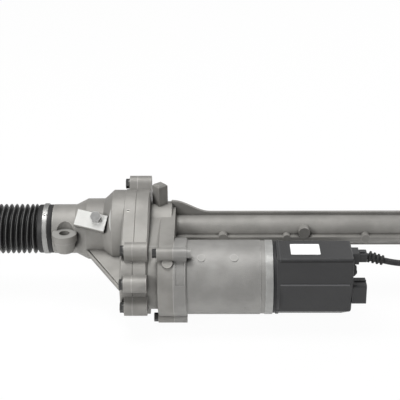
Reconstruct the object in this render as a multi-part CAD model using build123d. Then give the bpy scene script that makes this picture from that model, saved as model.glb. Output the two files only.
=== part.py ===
from build123d import *
import os
from math import acos, atan2, cos, degrees, pi, radians, sin, sqrt, tan

# Electric power steering rack. A belt drives a ball nut on the rack bar, from a motor that
# lies beside the rack with its control unit on the end of it. All lengths are millimetres.
# X runs along the rack bar, Z is up, and the side that faces -Y is the front.
# Everything is drawn about the rack bar's axis, above the left mounting eye. The finished
# pieces are then moved so that the origin is in the bore of that eye.

# Rack bar, its travel each way, and where its ends stand out of the housing
RACK_RADIUS = 13.0
RACK_TRAVEL = 75.0
BAR_STAND_OUT = 62.0
BAR_BREAK = 1.5
BAR_BORE_GAP = 1.0
STOP_GAP = 0.5
STOP_THICKNESS = 6.5
STUD_RADIUS = 7.5
STUD_LENGTH = 20.0
SCREW_BALL_RADIUS = 2.5
SCREW_LEAD = 10.0
SCREW_RUN_OUT = 3.0
BALL_TRACK_RADIUS = 13.7
BALL_PLAY = 0.08

# Housing stations, as lengths along the bar from the left mounting eye
NECK_LEFT = 16.0
BOOT_SEAT_LENGTH = 18.0
NECK_RIGHT = 11.0
NUT_CONE_LENGTH = 14.0
NUT_BAY_LENGTH = 20.4
BELT_CONE_LENGTH = 11.2
BELT_BAY_LENGTH = 13.0
LEFT_FLANGE = 14.8
RIGHT_FLANGE = 16.6
HUB_LENGTH = 25.0
TUBE_LENGTH = 419.0
RIGHT_NECK_LENGTH = 41.0

# Housing radii and walls
NECK_RADIUS = 29.5
BOOT_SEAT_RADIUS = 26.5
NECK_BORE = 23.0
NUT_BAY_RADIUS = 36.6
BELT_BAY_RADIUS = 47.6
MOTOR_LOBE_RADIUS = 40.0
HUB_RADIUS = 33.0
TUBE_RADIUS = 17.5
CAST_WALL = 5.0
BELT_WALL = 4.0
COVER_BREAK = 2.0
WALL_BREAK = 1.5
PAD_BREAK = 1.0
FLANGE_STEP = 0.8
LUG_RADIUS = 9.5
LUG_REACH = 6.6
LUG_SETBACK = 5.4
SEAM_BREAK = 0.5
SEAM_SLOT = (4.9, 7.9)
SEAM_SLOT_DEPTH = 1.5
SEAM_SLOT_HEIGHTS = (10.0, 38.0)
RACK_SIDE_BOLTS = (65.0, 345.0, 298.0)
MOTOR_SIDE_BOLTS = (113.0, 163.0, 200.0, 285.0)
FLANGE_BOLT_RADIUS = 4.0
FLANGE_HEAD_RADIUS = 6.0
FLANGE_HEAD_HEIGHT = 5.0
FLANGE_BOLT_GRIP = 12.0
FLANGE_COLLAR = 1.4
FLANGE_COLLAR_STEP = 0.2
BOLT_HOLE_GAP = 0.3
TUBE_CONE = 6.0

# Ribs, fins and bosses of the long casting
RIB_SHIFT = 1.0
RIB_THICKNESS = 4.0
RIB_HEIGHT = 21.0
FIN_REACH = 25.0
REAR_FIN_REACH = 23.0
FIN_THICKNESS = 4.0
FIN_BOSSES = ((187.0, 6.2), (262.5, 5.0), (355.8, 5.3), (430.0, 5.3))
BOSS_PROUD = 0.8
GUSSET_LENGTH = 46.0
GUSSET_RISE = 2.5
GUSSET_STEPS = 12
CROWN_X = 112.0
CROWN_WIDTH = 13.0
CROWN_TOP = 58.0
CROWN_TURN = 40.0
CROWN_SINK = 8.0
CROWN_BREAK = 2.0
SIDE_BOSS_X = 283.0
SIDE_BOSS_HEIGHT = 5.5
SIDE_BOSS_RADIUS = 6.7
STUB_ANGLE = 133.5
STUB_FROM_WALL = 11.5
STUB_PROUD = 2.5
STUB_SINK = 8.0
STUB_RADIUS = 6.0
BUSH_WALL = 2.0
BUSH_LENGTH = 22.0

# Mounting eyes
EYE_REACH = 34.0
EYE_BORE = 6.3
EYE_RADIUS = 14.5
EYE_TOP = 10.0
EYE_BOTTOM = -13.0
EYE_COLLAR = 9.0
EYE_COLLAR_STEP = 1.0
EYE_FOOT_RADIUS = 10.0
EYE_SHOULDER = 11.0
EYE_SHOULDER_RISE = 2.0
EYE_SOCKET_RADIUS = 12.0
RIGHT_EYE_FROM_MOUTH = 42.0

# Machined pad and its screw on the nut housing
PAD_ANGLE = 38.0
PAD_LENGTH = 36.0
PAD_WIDTH = 20.6
PAD_HEIGHT = 44.0
PAD_CENTRE = 32.0
PAD_SLOPE = 14.0
PAD_SCREW_RADIUS = 4.0
PAD_HEX_RADIUS = 6.8
PAD_HEX_HEIGHT = 6.0
PAD_SCREW_PLACE = (6.0, 3.0)
PAD_SCREW_FLOOR = 33.0

# Web that ties the neck to the belt housing
WEB_START = 20.0
WEB_REACH = 96.0
WEB_THICKNESS = 4.0
WEB_BEAD_RADIUS = 2.2
WEB_ROOT = 2.0
WEB_SINK = 4.0

# Motor and control unit
MOTOR_OFFSET = 76.0
MOTOR_DROP_ANGLE = 22.5
MOTOR_WALL_GAP = 11.5
MOTOR_WALL = 18.0
MOTOR_FLANGE = 15.0
MOTOR_FLANGE_RADIUS = 45.5
MOTOR_LENGTH = 97.5
MOTOR_RADIUS = 43.0
MOTOR_CAN_WALL = 3.0
MOTOR_LUGS = ((122.0, 52.0), (246.0, 46.5), (325.0, 46.5))
MOTOR_LUG_RADIUS = 6.5
MOTOR_LUG_TAIL = 5.0
MOTOR_TAIL_RADIUS = 5.5
MOTOR_BOLT_REST = 1.0
MOTOR_POCKET_ANGLES = (131.0, 165.0)
MOTOR_POCKET_MARGIN = 2.6
MOTOR_POCKET_DEPTH = 0.8
MOTOR_BOLT_RADIUS = 3.5
MOTOR_NOSE_RADIUS = 37.0
RACK_NOSE_RADIUS = 30.0
SHAFT_WAY_GAP = 3.0
SPIGOT_RADIUS = 34.0
SPIGOT_LENGTH = 5.0
SPIGOT_GAP = 0.1
SPIGOT_END_GAP = 0.5
MOTOR_SHAFT_ROOM = 4.0
MOTOR_FLANGE_FLOOR = 3.0
BEARING_SEAT_WALL = 4.0
MOTOR_SHAFT_RADIUS = 6.0
SHAFT_BREAK = 0.6
MOTOR_BEARING_RADIUS = 15.0
MOTOR_BEARING_WIDTH = 10.0
MOTOR_BEARING_INSET = 2.0
MOTOR_RING_THICKNESS = 3.0
MOTOR_CAGE_INSET = 2.0
STATOR_LENGTH = 62.0
STATOR_BORE = 23.0
STATOR_SLOTS = 12
SLOT_DEPTH = 11.0
SLOT_WIDTH = 7.0
END_TURN = 8.0
COIL_GAP = 0.8
COIL_INSET = 2.0
STATOR_SHIFT = 4.0
ROTOR_POLES = 8
MAGNET_THICKNESS = 3.0
MAGNET_WIDTH = 11.0
MAGNET_SINK = 4.5
AIR_GAP = 0.7
END_COVER_WIDTH = 8.5
END_STEP = 1.5
GROOVE_WIDTH = 5.5
GROOVE_DEPTH = 0.7
MOTOR_DISC_STATIONS = (162.0, 199.0)
MOTOR_DISC_ANGLE = 123.0
MOTOR_DISC_RADIUS = 4.7
MOTOR_DISC_RISE = 0.6
MOTOR_DISC_SINK = 4.0
MOTOR_HEAD_RADIUS = 5.2
MOTOR_HEAD_HEIGHT = 5.0
MOTOR_PAD_RISE = 0.5
MOTOR_HEAD_ROOM = 0.8
UNIT_BASE = 4.0
UNIT_LENGTH = 85.0
UNIT_RIM = 3.0
UNIT_RIM_RADIUS = 42.6
UNIT_RIM_WALL = 4.5
UNIT_CUT = (9.0, -24.0, -41.5)
UNIT_TOP = 44.5
UNIT_FRONT = 43.0
UNIT_BACK = 4.0
UNIT_SIDE = 38.0
UNIT_FLOOR = -41.0
UNIT_FRONT_CORNERS = ((-35.0, -26.0), (-12.0, UNIT_FLOOR))
UNIT_REAR_CORNERS = ((18.0, UNIT_FLOOR), (UNIT_SIDE, -20.0), (UNIT_SIDE, 8.0))
UNIT_EDGE = 12.0
UNIT_EDGE_ROUND = 2.5
UNIT_WALL = 2.5
UNIT_CORNER = 2.0
LID_THICKNESS = 3.0
LID_JOINT = 0.5
LID_SHELF = 3.0
RIDGE_RISE = 0.6
RIDGE_HEIGHT = 1.6
RIDGE_INSET = 4.0
ROOF = 6.0
BOARD_POSTS = 16.0
BOARD_POST_REACH = 26.0
BOARD_POST_RADIUS = 3.5
BOARD_POST_ANGLES = (35.0, 125.0, 215.0, 305.0)
BOARD_THICKNESS = 1.6
CAPACITOR_RADIUS = 9.0
CAPACITOR_HEIGHT = 26.0
CAPACITOR_PLACES = ((-20.0, 8.0), (0.0, 8.0), (20.0, -8.0))
CHOKE_PLACE = (-4.0, -18.0)
CHOKE_RADIUS = 11.0
CHOKE_BORE = 5.0
CHOKE_HEIGHT = 12.0
BOARD_GAP = 2.5

# Belt drive
BELT_WIDTH = 22.0
BELT_THICKNESS = 2.2
BELT_GAP = 0.3
DRIVEN_RADIUS = 36.0
BELT_RATIO = 3.0
DRIVEN_TEETH = 60
PULLEY_TOOTH_DEPTH = 1.2
NOTCH_FOOT = 0.18
NOTCH_MOUTH = 0.28
NOTCH_OVERRUN = 0.5
PULLEY_RIM = 3.0
PULLEY_HUB = 4.0
PULLEY_LIGHTENING = 7.0
PULLEY_FLANGE = 0.6
PULLEY_FLANGE_RISE = 1.54
COLLAR_SINK = 0.5

# Ball nut and its bearing
NUT_RADIUS = 25.0
NUT_SEAT_RADIUS = 23.0
NUT_HEAD_LENGTH = 28.0
NUT_BORE_GAP = 0.3
BALL_CIRCUITS = 3
BALLS_PER_TURN = 10
FIRST_BALL_TURN = 7.0
FIRST_BALL_ANGLE = 9.0
RETURN_WIDTH = 9.0
RETURN_DEPTH = 5.0
RETURN_SINK = 0.6
RETURN_BREAK = 0.8
NUT_BEARING_RADIUS = 38.0
NUT_BEARING_WIDTH = 15.0
NUT_BEARING_BALLS = 12
BEARING_BALL_RADIUS = 4.6
RACE_GAP = 2.0
BEARING_INSET = 3.0
LOCK_RING_WIDTH = 4.0
LOCK_HOLES = 6
LOCK_HOLE_RADIUS = 1.6
PULLEY_SIDE_GAP = 1.2

# Steering pinion, its tower and the yoke
PINION_FROM_MOUTH = 104.0
TOOTH_MODULE = 2.0
PINION_TEETH = 8
PROFILE_SHIFT = 0.53
PRESSURE_ANGLE = 20.0
BACKLASH = 0.14
TIP_HEIGHT = 1.25
ROOT_DEPTH = 1.25
FLANK_STEPS = 4
RACK_FLAT = 9.0
TEETH_BEYOND_TRAVEL = 12.0
PINION_FACE = 26.0
TOWER_RADIUS = 21.0
TOWER_TOP = 34.0
TOWER_FLOOR = -32.0
TOWER_RIM = 6.0
TOWER_RIB_THICKNESS = 5.0
TOWER_RIB_TOP = 8.0
TOWER_RIB_REACH = 63.0
TOWER_RIB_START = 12.6
TOWER_RIB_SINK = 2.0
SENSOR_HOLE_FLOOR = 3.0
SENSOR_HEIGHT = 34.0
SENSOR_RADIUS = 24.0
SENSOR_BREAK = 2.5
SENSOR_WALL = 4.0
SENSOR_EAR_HEIGHT = 6.0
INPUT_RADIUS = 9.0
INPUT_STICK_OUT = 34.0
INPUT_FLOOR = 4.0
INPUT_BREAK = 1.2
INPUT_GROOVE = (24.0, 20.0)
INPUT_GROOVE_DEPTH = 1.4
PINION_COLLAR = 8.0
PINION_END_GAP = 1.0
MAGNET_RING = (3.0, 11.0)
MAGNET_RING_WALL = 5.0
TORSION_RADIUS = 3.0
LOWER_JOURNAL = 6.0
BEARING_HEIGHT = 10.0
SEAL_WIDTH = 4.0
SEAL_STAND = 2.0
SEAL_BREAK = 1.2
SEAL_GAP = 0.3
SENSOR_SCREW_ANGLES = (30.0, 150.0, 270.0)
SENSOR_EAR_REACH = 5.0
SENSOR_EAR_RADIUS = 5.5
SENSOR_SCREW_RADIUS = 2.5
SENSOR_SCREW_GRIP = 8.0
SENSOR_HEAD_RADIUS = 4.4
SENSOR_HEAD_HEIGHT = 3.5
YOKE_FRONT = 4.0
BEARING_SIDE_GAP = 1.0
PINION_WELL_RADIUS = 12.5
LOWER_BEARING_RADIUS = 13.0
UPPER_BEARING_RADIUS = 16.0
UPPER_INNER_WALL = 3.2
UPPER_OUTER_WALL = 3.5
CAP_HEAD = 3.0
CAP_HEAD_STEP = 3.0
CAP_HEX_RADIUS = 6.0
CAP_HEX_DEPTH = 2.0
YOKE_GAP = 0.05
YOKE_RADIUS = 15.0
YOKE_LENGTH = 29.0
YOKE_BOSS_REACH = 46.0
YOKE_PLUG_LENGTH = 8.0
YOKE_PLUG_STAND = 2.0
YOKE_HEX_RADIUS = 8.0
YOKE_HEX_DEPTH = 5.0
YOKE_RECESS = 3.0
YOKE_RECESS_WALL = 4.0
SPRING_BORE = 5.0
SPRING_WALL = 5.0
SPRING_THICKNESS = 1.2

# Inner ball joints, tie rods and boots
SOCKET_LENGTH = 37.0
SOCKET_RADIUS = 19.0
BALL_RADIUS = 13.5
BALL_FROM_BAR = 26.0
SOCKET_BREAK = 2.5
SOCKET_FLATS = (10.0, 1.0)
SOCKET_FLAT_DEPTH = 1.5
STUD_END_GAP = 1.0
MOUTH_FLARE = 1.5
MOUTH_FLARE_DEPTH = 2.0
MOUTH_THROAT_RADIUS = 7.44
MOUTH_THROAT = 5.5
SEAT_THICKNESS = 1.5
SEAT_GAP = 0.05
ROD_RADIUS = 7.0
ROD_LENGTH = 214.0
NECK_OF_ROD = 5.5
NECK_OF_ROD_LENGTH = 26.0
ROD_THREAD = 40.0
ROD_BODY_RADIUS = 8.0
ROD_SHOULDER = 6.0
ROD_RUN_OUT = 4.0
ROD_BREAK = 1.5
ROD_ROOT = 12.15
ROD_FLATS = (14.0, 26.0)
ROD_FLAT_HALF = 6.5
MOUTH_RADIUS = 12.4
SEAT_MOUTH = 6.0
BOOT_LENGTH = 203.0
BOOT_PITCH = 12.0
BOOT_PEAK = 30.0
BOOT_WALL = 1.6
BOOT_FOLD = 6.4
BOOT_TAPER_PEAK = 17.0
BOOT_STRAIGHT_SHARE = 0.6
BOOT_SHOULDER_GAP = 0.3
BOOT_CUFF_SINK = 0.2
BOOT_FOLD_SHARES = (0.2, 0.6, 0.8)
CUFF_GAP = 0.3
CLAMP_STATION = 11.5
CLAMP_EAR_ANGLE = -22.0
CLAMP_RIVET_RADIUS = 2.6
CLAMP_RIVET_HEIGHT = 2.4
CLAMP_LAP = 20.0
CLAMP_LAP_DEPTH = 8.0
CUFF_LENGTH = 12.0
CLAMP_WIDTH = 7.0
CLAMP_THICKNESS = 0.8
CLIP_INSET = 3.0
CLIP_WIDTH = 5.0
CLIP_THICKNESS = 1.2
CLIP_LUG_SPREAD = 3.0
CLIP_LUG_THICKNESS = 1.4
CLIP_LUG_HEIGHT = 6.0
CUFF_STOP = (4.0, 1.0)
CUFF_STOP_WALL = 2.0

# Plugs and the lead from the control unit to the torque sensor
POWER_PLUG_DEPTH = 16.0
POWER_PLUG_WIDTH = 22.0
POWER_PLUG_HEIGHT = 24.0
PLUG_WALL = 2.0
POWER_FORWARD = 28.0
POWER_DROP = 3.0
BLADE_LENGTH = 9.0
BLADE_SIZE = (6.0, 1.8)
BLADE_SPREAD = 5.0
BLADE_ROOT = 0.5
POWER_CORNER = 3.0
POWER_INNER_CORNER = 2.0
POWER_RIB = (3.0, 2.4, 1.0, 1.4)
SIGNAL_SOCKET = (18.0, 14.5)
SIGNAL_SOCKET_DEPTH = 7.0
SIGNAL_SOCKET_CORNER = 2.5
SIGNAL_PLUG = (14.0, 10.5)
SIGNAL_PLUG_CORNER = 2.0
SIGNAL_PLUG_LENGTH = 16.0
SIGNAL_PLUG_GAP = 0.3
SIGNAL_PLUG_SEAT = 0.5
SIGNAL_PLUG_RISE = (1.6, 3.4)
SIGNAL_LEAD_REACH = 30.0
SIGNAL_LEAD_PLACE = (-92.0, 4.5)
SIGNAL_LEAD_HEADING = (25.0, -3.0, -6.0)
LATCH_SPAN = (8.0, 14.0)
LATCH_WIDTH = 6.0
LATCH_TOP = 6.6
LATCH_ROOT = 4.0
PLUG_NECK = 5.0
GROMMET_LENGTH = 11.0
GROMMET_WALL = 0.9
GROMMET_RIB_WALL = 2.0
GROMMET_RIBS = 4
GROMMET_RIB_START = 0.8
GROMMET_RIB_PITCH = 2.7
GROMMET_RIB_WIDTH = 1.4
TORQUE_PLUG_LENGTH = 9.0
LEAD_RADIUS = 3.5
LEAD_ARC_SHARE = 0.45
TORQUE_PLUG = (13.0, 10.0)
TORQUE_PLUG_CORNER = 1.5
TORQUE_PLUG_NECK = 4.0
TORQUE_PLUG_NECK_OVERLAP = 0.5
TORQUE_PLUG_NECK_WALL = 1.2
TORQUE_PLUG_PLACE = (-25.7, -30.54, 51.0)
TORQUE_PLUG_HEADING = (16.8, 20.0, 0.0)
TORQUE_SOCKET = (17.0, 14.0, 16.0)

# Stations along the bar that follow from the lengths above
left_mouth = -NECK_LEFT - BOOT_SEAT_LENGTH
nut_bay_start = NECK_RIGHT + NUT_CONE_LENGTH
nut_bay_end = nut_bay_start + NUT_BAY_LENGTH
belt_bay_start = nut_bay_end + BELT_CONE_LENGTH
flange_start = belt_bay_start + BELT_BAY_LENGTH
seam = flange_start + LEFT_FLANGE
cover_end = seam + RIGHT_FLANGE
hub_end = cover_end + HUB_LENGTH
tube_end = hub_end + TUBE_LENGTH
right_mouth = tube_end + RIGHT_NECK_LENGTH + BOOT_SEAT_LENGTH
bar_left = left_mouth - BAR_STAND_OUT
bar_right = right_mouth + BAR_STAND_OUT
right_eye = right_mouth - RIGHT_EYE_FROM_MOUTH
pinion_x = right_mouth - PINION_FROM_MOUTH
bush_start = tube_end - BUSH_LENGTH / 2
bar_bore = RACK_RADIUS + BAR_BORE_GAP

# The motor's axis and stations
motor_angle = 180 + MOTOR_DROP_ANGLE
motor_y = MOTOR_OFFSET * cos(radians(motor_angle))
motor_z = MOTOR_OFFSET * sin(radians(motor_angle))
motor_axis = (motor_y, motor_z)
motor_wall_start = cover_end + MOTOR_WALL_GAP
motor_wall_end = motor_wall_start + MOTOR_WALL
motor_head_seat = motor_wall_start - MOTOR_PAD_RISE
motor_start = motor_wall_end + MOTOR_FLANGE
motor_end = motor_start + MOTOR_LENGTH
unit_start = motor_end + UNIT_BASE
unit_end = unit_start + UNIT_LENGTH

# The belt runs in the middle of the belt housing
drive_radius = DRIVEN_RADIUS / BELT_RATIO
belt_bay_bore = BELT_BAY_RADIUS - CAST_WALL
bearing_start = belt_bay_start - BEARING_INSET
bearing_end = bearing_start + NUT_BEARING_WIDTH
belt_bay_floor = bearing_end + LOCK_RING_WIDTH
belt_start = belt_bay_floor + PULLEY_SIDE_GAP
belt_end = belt_start + BELT_WIDTH
pulley_start = belt_start - BELT_GAP - PULLEY_FLANGE
pulley_end = belt_end + BELT_GAP + PULLEY_FLANGE
nut_left = bearing_start - NUT_HEAD_LENGTH

# Rack and pinion mesh: the reference line of the teeth and the pinion's axis
reference_line = RACK_FLAT - TOOTH_MODULE
pitch_radius = TOOTH_MODULE * PINION_TEETH / 2
base_radius = pitch_radius * cos(radians(PRESSURE_ANGLE))
pinion_y = -(reference_line + pitch_radius + PROFILE_SHIFT * TOOTH_MODULE)
tooth_pitch = pi * TOOTH_MODULE

# Ball centre of the left inner joint
left_ball = bar_left - BALL_FROM_BAR


def rod(x0, x1, radius, centre=(0, 0)):
    """A round bar along X."""
    return Pos((x0 + x1) / 2, centre[0], centre[1]) * Rot(0, 90, 0) * Cylinder(radius, x1 - x0)


def ring(x0, x1, radius, bore, centre=(0, 0)):
    """A plain ring about an axis along X."""
    return rod(x0, x1, radius, centre) - rod(x0 - 1, x1 + 1, bore, centre)


def post(x, y, z0, z1, radius):
    """A round bar along Z."""
    return Pos(x, y, (z0 + z1) / 2) * Cylinder(radius, z1 - z0)


def block(x0, x1, y0, y1, z0, z1):
    """A box between two corners."""
    return Pos((x0 + x1) / 2, (y0 + y1) / 2, (z0 + z1) / 2) * Box(x1 - x0, y1 - y0, z1 - z0)


def together(*solids):
    """Separate solids that share one node."""
    group = Part()
    for solid in solids:
        group += solid
    return group


def turned(outline):
    """A solid turned about the bar's axis from points of station and radius."""
    return revolve(make_face(Polyline(*outline, close=True)), Axis.X)


def along(sketch, x0, x1):
    """A sketch of Y and Z, extruded from one station to another."""
    return extrude(Plane(origin=(x0, 0, 0), x_dir=(0, 1, 0), z_dir=(1, 0, 0)) * sketch, x1 - x0)


def about(axis, reach, angle):
    """The Y and Z of a point at an angle about an axis along X. 0 is the back and 90 the top."""
    return (axis[0] + reach * cos(radians(angle)), axis[1] + reach * sin(radians(angle)))


def hexagon(x0, x1, corner_radius, centre):
    """A hexagon head along X."""
    return along(Pos(*centre) * RegularPolygon(corner_radius, 6), x0, x1)


def belt_outline(rack_side, motor_side):
    """The belt drive's outline: a round about each axis and the straight sides between them."""
    lean = degrees(acos((rack_side - motor_side) / MOTOR_OFFSET))
    corners = [about((0, 0), rack_side, motor_angle + lean),
               about(motor_axis, motor_side, motor_angle + lean),
               about(motor_axis, motor_side, motor_angle - lean),
               about((0, 0), rack_side, motor_angle - lean)]
    rounds = Circle(rack_side) + Pos(*motor_axis) * Circle(motor_side)
    return rounds + make_face(Polyline(*corners, close=True))


def flange_bolt_places():
    """Centre and angle of each bolt round the belt housing."""
    rack_side = [(about((0, 0), BELT_BAY_RADIUS + LUG_REACH, a), a) for a in RACK_SIDE_BOLTS]
    motor_side = [(about(motor_axis, MOTOR_LOBE_RADIUS + LUG_REACH, a), a) for a in MOTOR_SIDE_BOLTS]
    return rack_side + motor_side


def motor_bolt_places():
    """Centre and angle of each bolt that holds the motor."""
    return [(about(motor_axis, reach, a), a) for a, reach in MOTOR_LUGS]


def lugs(places, x0, x1, radius):
    """Rounded ears that carry bolts, each rooted in the wall behind it."""
    ears = Part()
    for centre, angle in places:
        root = Pos(*centre) * Rot(0, 0, angle) * Pos(-radius, 0) * Rectangle(2 * radius, 2 * radius)
        ears += along(Pos(*centre) * Circle(radius) + root, x0, x1)
    return ears


def bolt_holes(places, x0, x1, radius):
    """Round holes along X at the bolt places."""
    holes = Part()
    for centre, _ in places:
        holes += rod(x0, x1, radius, centre)
    return holes


def mounting_eye(x):
    """A boss on the front of a neck: a collar, and a taper below it, rooted in the neck by a shoulder."""
    low = EYE_TOP - EYE_COLLAR
    collar = post(x, -EYE_REACH, low, EYE_TOP, EYE_RADIUS)
    taper = Cone(EYE_FOOT_RADIUS, EYE_RADIUS - EYE_COLLAR_STEP, low - EYE_BOTTOM)
    shoulder = block(x - EYE_SHOULDER, x + EYE_SHOULDER, -EYE_REACH, -NECK_BORE, EYE_BOTTOM + EYE_SHOULDER_RISE,
                     EYE_TOP)
    return collar + Pos(x, -EYE_REACH, (low + EYE_BOTTOM) / 2) * taper + shoulder


def eye_bore(x):
    """The bore and the relief that a socket wrench comes down through."""
    return (post(x, -EYE_REACH, EYE_BOTTOM - 1, EYE_TOP + 1, EYE_BORE)
            + post(x, -EYE_REACH, EYE_TOP, EYE_TOP + 3 * EYE_SOCKET_RADIUS, EYE_SOCKET_RADIUS))


def pad_plane():
    """The plane of the machined pad: its normal points to the front and up."""
    lift = radians(PAD_ANGLE)
    return Plane(origin=(PAD_CENTRE, 0, 0), x_dir=(1, 0, 0), z_dir=(0, -cos(lift), sin(lift)))


def machined_pad():
    """The sloped pad on the front of the nut bay."""
    foot = NUT_BAY_RADIUS - CAST_WALL
    slab = Pos(0, 0, (PAD_HEIGHT + foot) / 2) * Box(PAD_LENGTH, PAD_WIDTH, PAD_HEIGHT - foot)
    slab = chamfer(slab.edges().filter_by(Axis.X).group_by(Axis.Z)[-1], PAD_BREAK)
    return pad_plane() * Rot(0, 0, -PAD_SLOPE) * slab


def web():
    """The triangular web between neck and belt housing, with a round bead on its free edge."""
    reach = radians(motor_angle)
    plane = Plane(origin=(0, 0, 0), x_dir=(1, 0, 0), z_dir=(0, -sin(reach), cos(reach)))
    inner = [(WEB_START, NECK_BORE + WEB_ROOT), (nut_bay_end, NECK_BORE + WEB_ROOT),
             (flange_start + WEB_ROOT, BELT_BAY_RADIUS - WEB_SINK), (flange_start + WEB_ROOT, WEB_REACH)]
    sheet = extrude(plane * make_face(Polyline(*inner, close=True)), WEB_THICKNESS / 2, both=True)
    rise = WEB_REACH - NECK_RADIUS
    run = flange_start - WEB_START
    tilt = degrees(atan2(rise, run))
    middle = Pos(WEB_START + run / 2, NECK_RADIUS + rise / 2, 0)
    bead = middle * Rot(0, 0, tilt) * Rot(0, 90, 0) * Cylinder(WEB_BEAD_RADIUS, sqrt(rise ** 2 + run ** 2))
    return sheet + plane * bead


left_stop = bar_left + RACK_TRAVEL + STOP_GAP
left_wall = left_stop + STOP_THICKNESS
right_stop = bar_right - RACK_TRAVEL - STOP_GAP
right_wall = right_stop - STOP_THICKNESS


def seam_slot():
    """Shallow slot across the front of the left flange."""
    start, end = (flange_start + station for station in SEAM_SLOT)
    low, high = SEAM_SLOT_HEIGHTS
    groove = ring(start, end, BELT_BAY_RADIUS + 1, BELT_BAY_RADIUS - SEAM_SLOT_DEPTH)
    return groove & block(start, end, -BELT_BAY_RADIUS - 1, 0, low, high)


def ball_nut_housing():
    """Left casting: boot seat, neck and mounting eye, nut bay, and the left half of the belt bay."""
    body = turned([(left_mouth, 0), (left_mouth, BOOT_SEAT_RADIUS), (-NECK_LEFT, BOOT_SEAT_RADIUS),
                   (-NECK_LEFT, NECK_RADIUS), (NECK_RIGHT, NECK_RADIUS),
                   (nut_bay_start, NUT_BAY_RADIUS), (nut_bay_end, NUT_BAY_RADIUS),
                   (belt_bay_start, BELT_BAY_RADIUS - FLANGE_STEP),
                   (flange_start + COVER_BREAK, BELT_BAY_RADIUS - FLANGE_STEP), (flange_start + COVER_BREAK, 0)])
    flange = along(belt_outline(BELT_BAY_RADIUS, MOTOR_LOBE_RADIUS), flange_start, seam)
    flange = chamfer(flange.edges().group_by(Axis.X)[0], COVER_BREAK)
    flange = chamfer(flange.edges().group_by(Axis.X)[-1], SEAM_BREAK) - seam_slot()
    body += flange + lugs(flange_bolt_places(), flange_start + LUG_SETBACK, seam, LUG_RADIUS)
    body += mounting_eye(0) + machined_pad() + web()
    bay = NUT_BAY_RADIUS - CAST_WALL
    inside = turned([(left_mouth - 1, 0), (left_mouth - 1, NECK_BORE), (left_wall, NECK_BORE),
                     (left_wall, bar_bore), (left_wall + CAST_WALL, bar_bore),
                     (left_wall + CAST_WALL, NECK_BORE), (NECK_RIGHT, NECK_BORE),
                     (nut_bay_start, bay), (bearing_start, bay),
                     (bearing_start, NUT_BEARING_RADIUS), (belt_bay_floor + 1, NUT_BEARING_RADIUS),
                     (belt_bay_floor + 1, 0)])
    belt_room = along(belt_outline(belt_bay_bore, MOTOR_LOBE_RADIUS - CAST_WALL), belt_bay_floor, seam + 1)
    body -= inside + belt_room
    body -= eye_bore(0)
    body -= bolt_holes(flange_bolt_places(), flange_start, seam + 1, FLANGE_BOLT_RADIUS + BOLT_HOLE_GAP)
    body -= pad_plane() * post(*PAD_SCREW_PLACE, PAD_SCREW_FLOOR, PAD_HEIGHT + 1, PAD_SCREW_RADIUS)
    return body


def housing_bolts():
    """Flanged hexagon bolts that close the belt housing."""
    under_head = flange_start + LUG_SETBACK
    bolts = Part()
    for centre, _ in flange_bolt_places():
        head = hexagon(under_head - FLANGE_HEAD_HEIGHT, under_head, FLANGE_HEAD_RADIUS, centre)
        collar = rod(under_head - FLANGE_COLLAR, under_head, FLANGE_HEAD_RADIUS + FLANGE_COLLAR_STEP, centre)
        shank = rod(under_head, seam + FLANGE_BOLT_GRIP, FLANGE_BOLT_RADIUS, centre)
        bolts += head + collar + shank
    return bolts


def pad_screw():
    """The hexagon screw on the machined pad."""
    x, y = PAD_SCREW_PLACE
    head = Pos(x, y, PAD_HEIGHT) * extrude(RegularPolygon(PAD_HEX_RADIUS, 6), PAD_HEX_HEIGHT)
    shank = post(x, y, PAD_SCREW_FLOOR, PAD_HEIGHT, PAD_SCREW_RADIUS)
    return pad_plane() * (head + shank)


def rear_wall_outline():
    """The wall that the motor is bolted to, seen along X."""
    return belt_outline(HUB_RADIUS - CAST_WALL, MOTOR_FLANGE_RADIUS)


def front_boss(x, height, radius):
    """A round pad that points to the front, from the tube's wall to the edge of the front fin."""
    reach = FIN_REACH + BOSS_PROUD
    return Pos(x, -(reach + bar_bore) / 2, height) * Rot(90, 0, 0) * Cylinder(radius, reach - bar_bore)


def fin_bosses():
    """The row of small pads on the edge of the front fin, and the larger one above it."""
    pads = front_boss(SIDE_BOSS_X, SIDE_BOSS_HEIGHT, SIDE_BOSS_RADIUS)
    for x, radius in FIN_BOSSES:
        pads += front_boss(x, -FIN_THICKNESS / 2, radius)
    return pads


def tower():
    """Upright housing of the pinion, with the yoke's boss behind the rack."""
    x, y = pinion_x, pinion_y
    well = post(x, y, TOWER_FLOOR, TOWER_TOP, TOWER_RADIUS)
    rim = post(x, y, TOWER_TOP - TOWER_RIM, TOWER_TOP, SENSOR_RADIUS)
    yoke_boss = across(0, YOKE_BOSS_REACH, YOKE_RADIUS + CAST_WALL)
    ribs = Part()
    for side in (-1, 1):
        start = x + side * TOWER_RIB_START
        end = x + side * TOWER_RIB_REACH
        rib = [(start, TOWER_TOP - TOWER_RIB_TOP), (start, 0), (end, 0), (end, TUBE_RADIUS - TOWER_RIB_SINK)]
        profile = Plane.XZ * make_face(Polyline(*rib, close=True))
        ribs += Pos(0, y / 2, 0) * extrude(profile, TOWER_RIB_THICKNESS / 2, both=True)
    for angle in SENSOR_SCREW_ANGLES:
        ear_x, ear_y = about((x, y), SENSOR_RADIUS + SENSOR_EAR_REACH, angle)
        ear_low = TOWER_TOP - SENSOR_SCREW_GRIP - SENSOR_HOLE_FLOOR
        rim += post(ear_x, ear_y, ear_low, TOWER_TOP, SENSOR_EAR_RADIUS)
    return well + rim + yoke_boss + ribs


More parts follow.
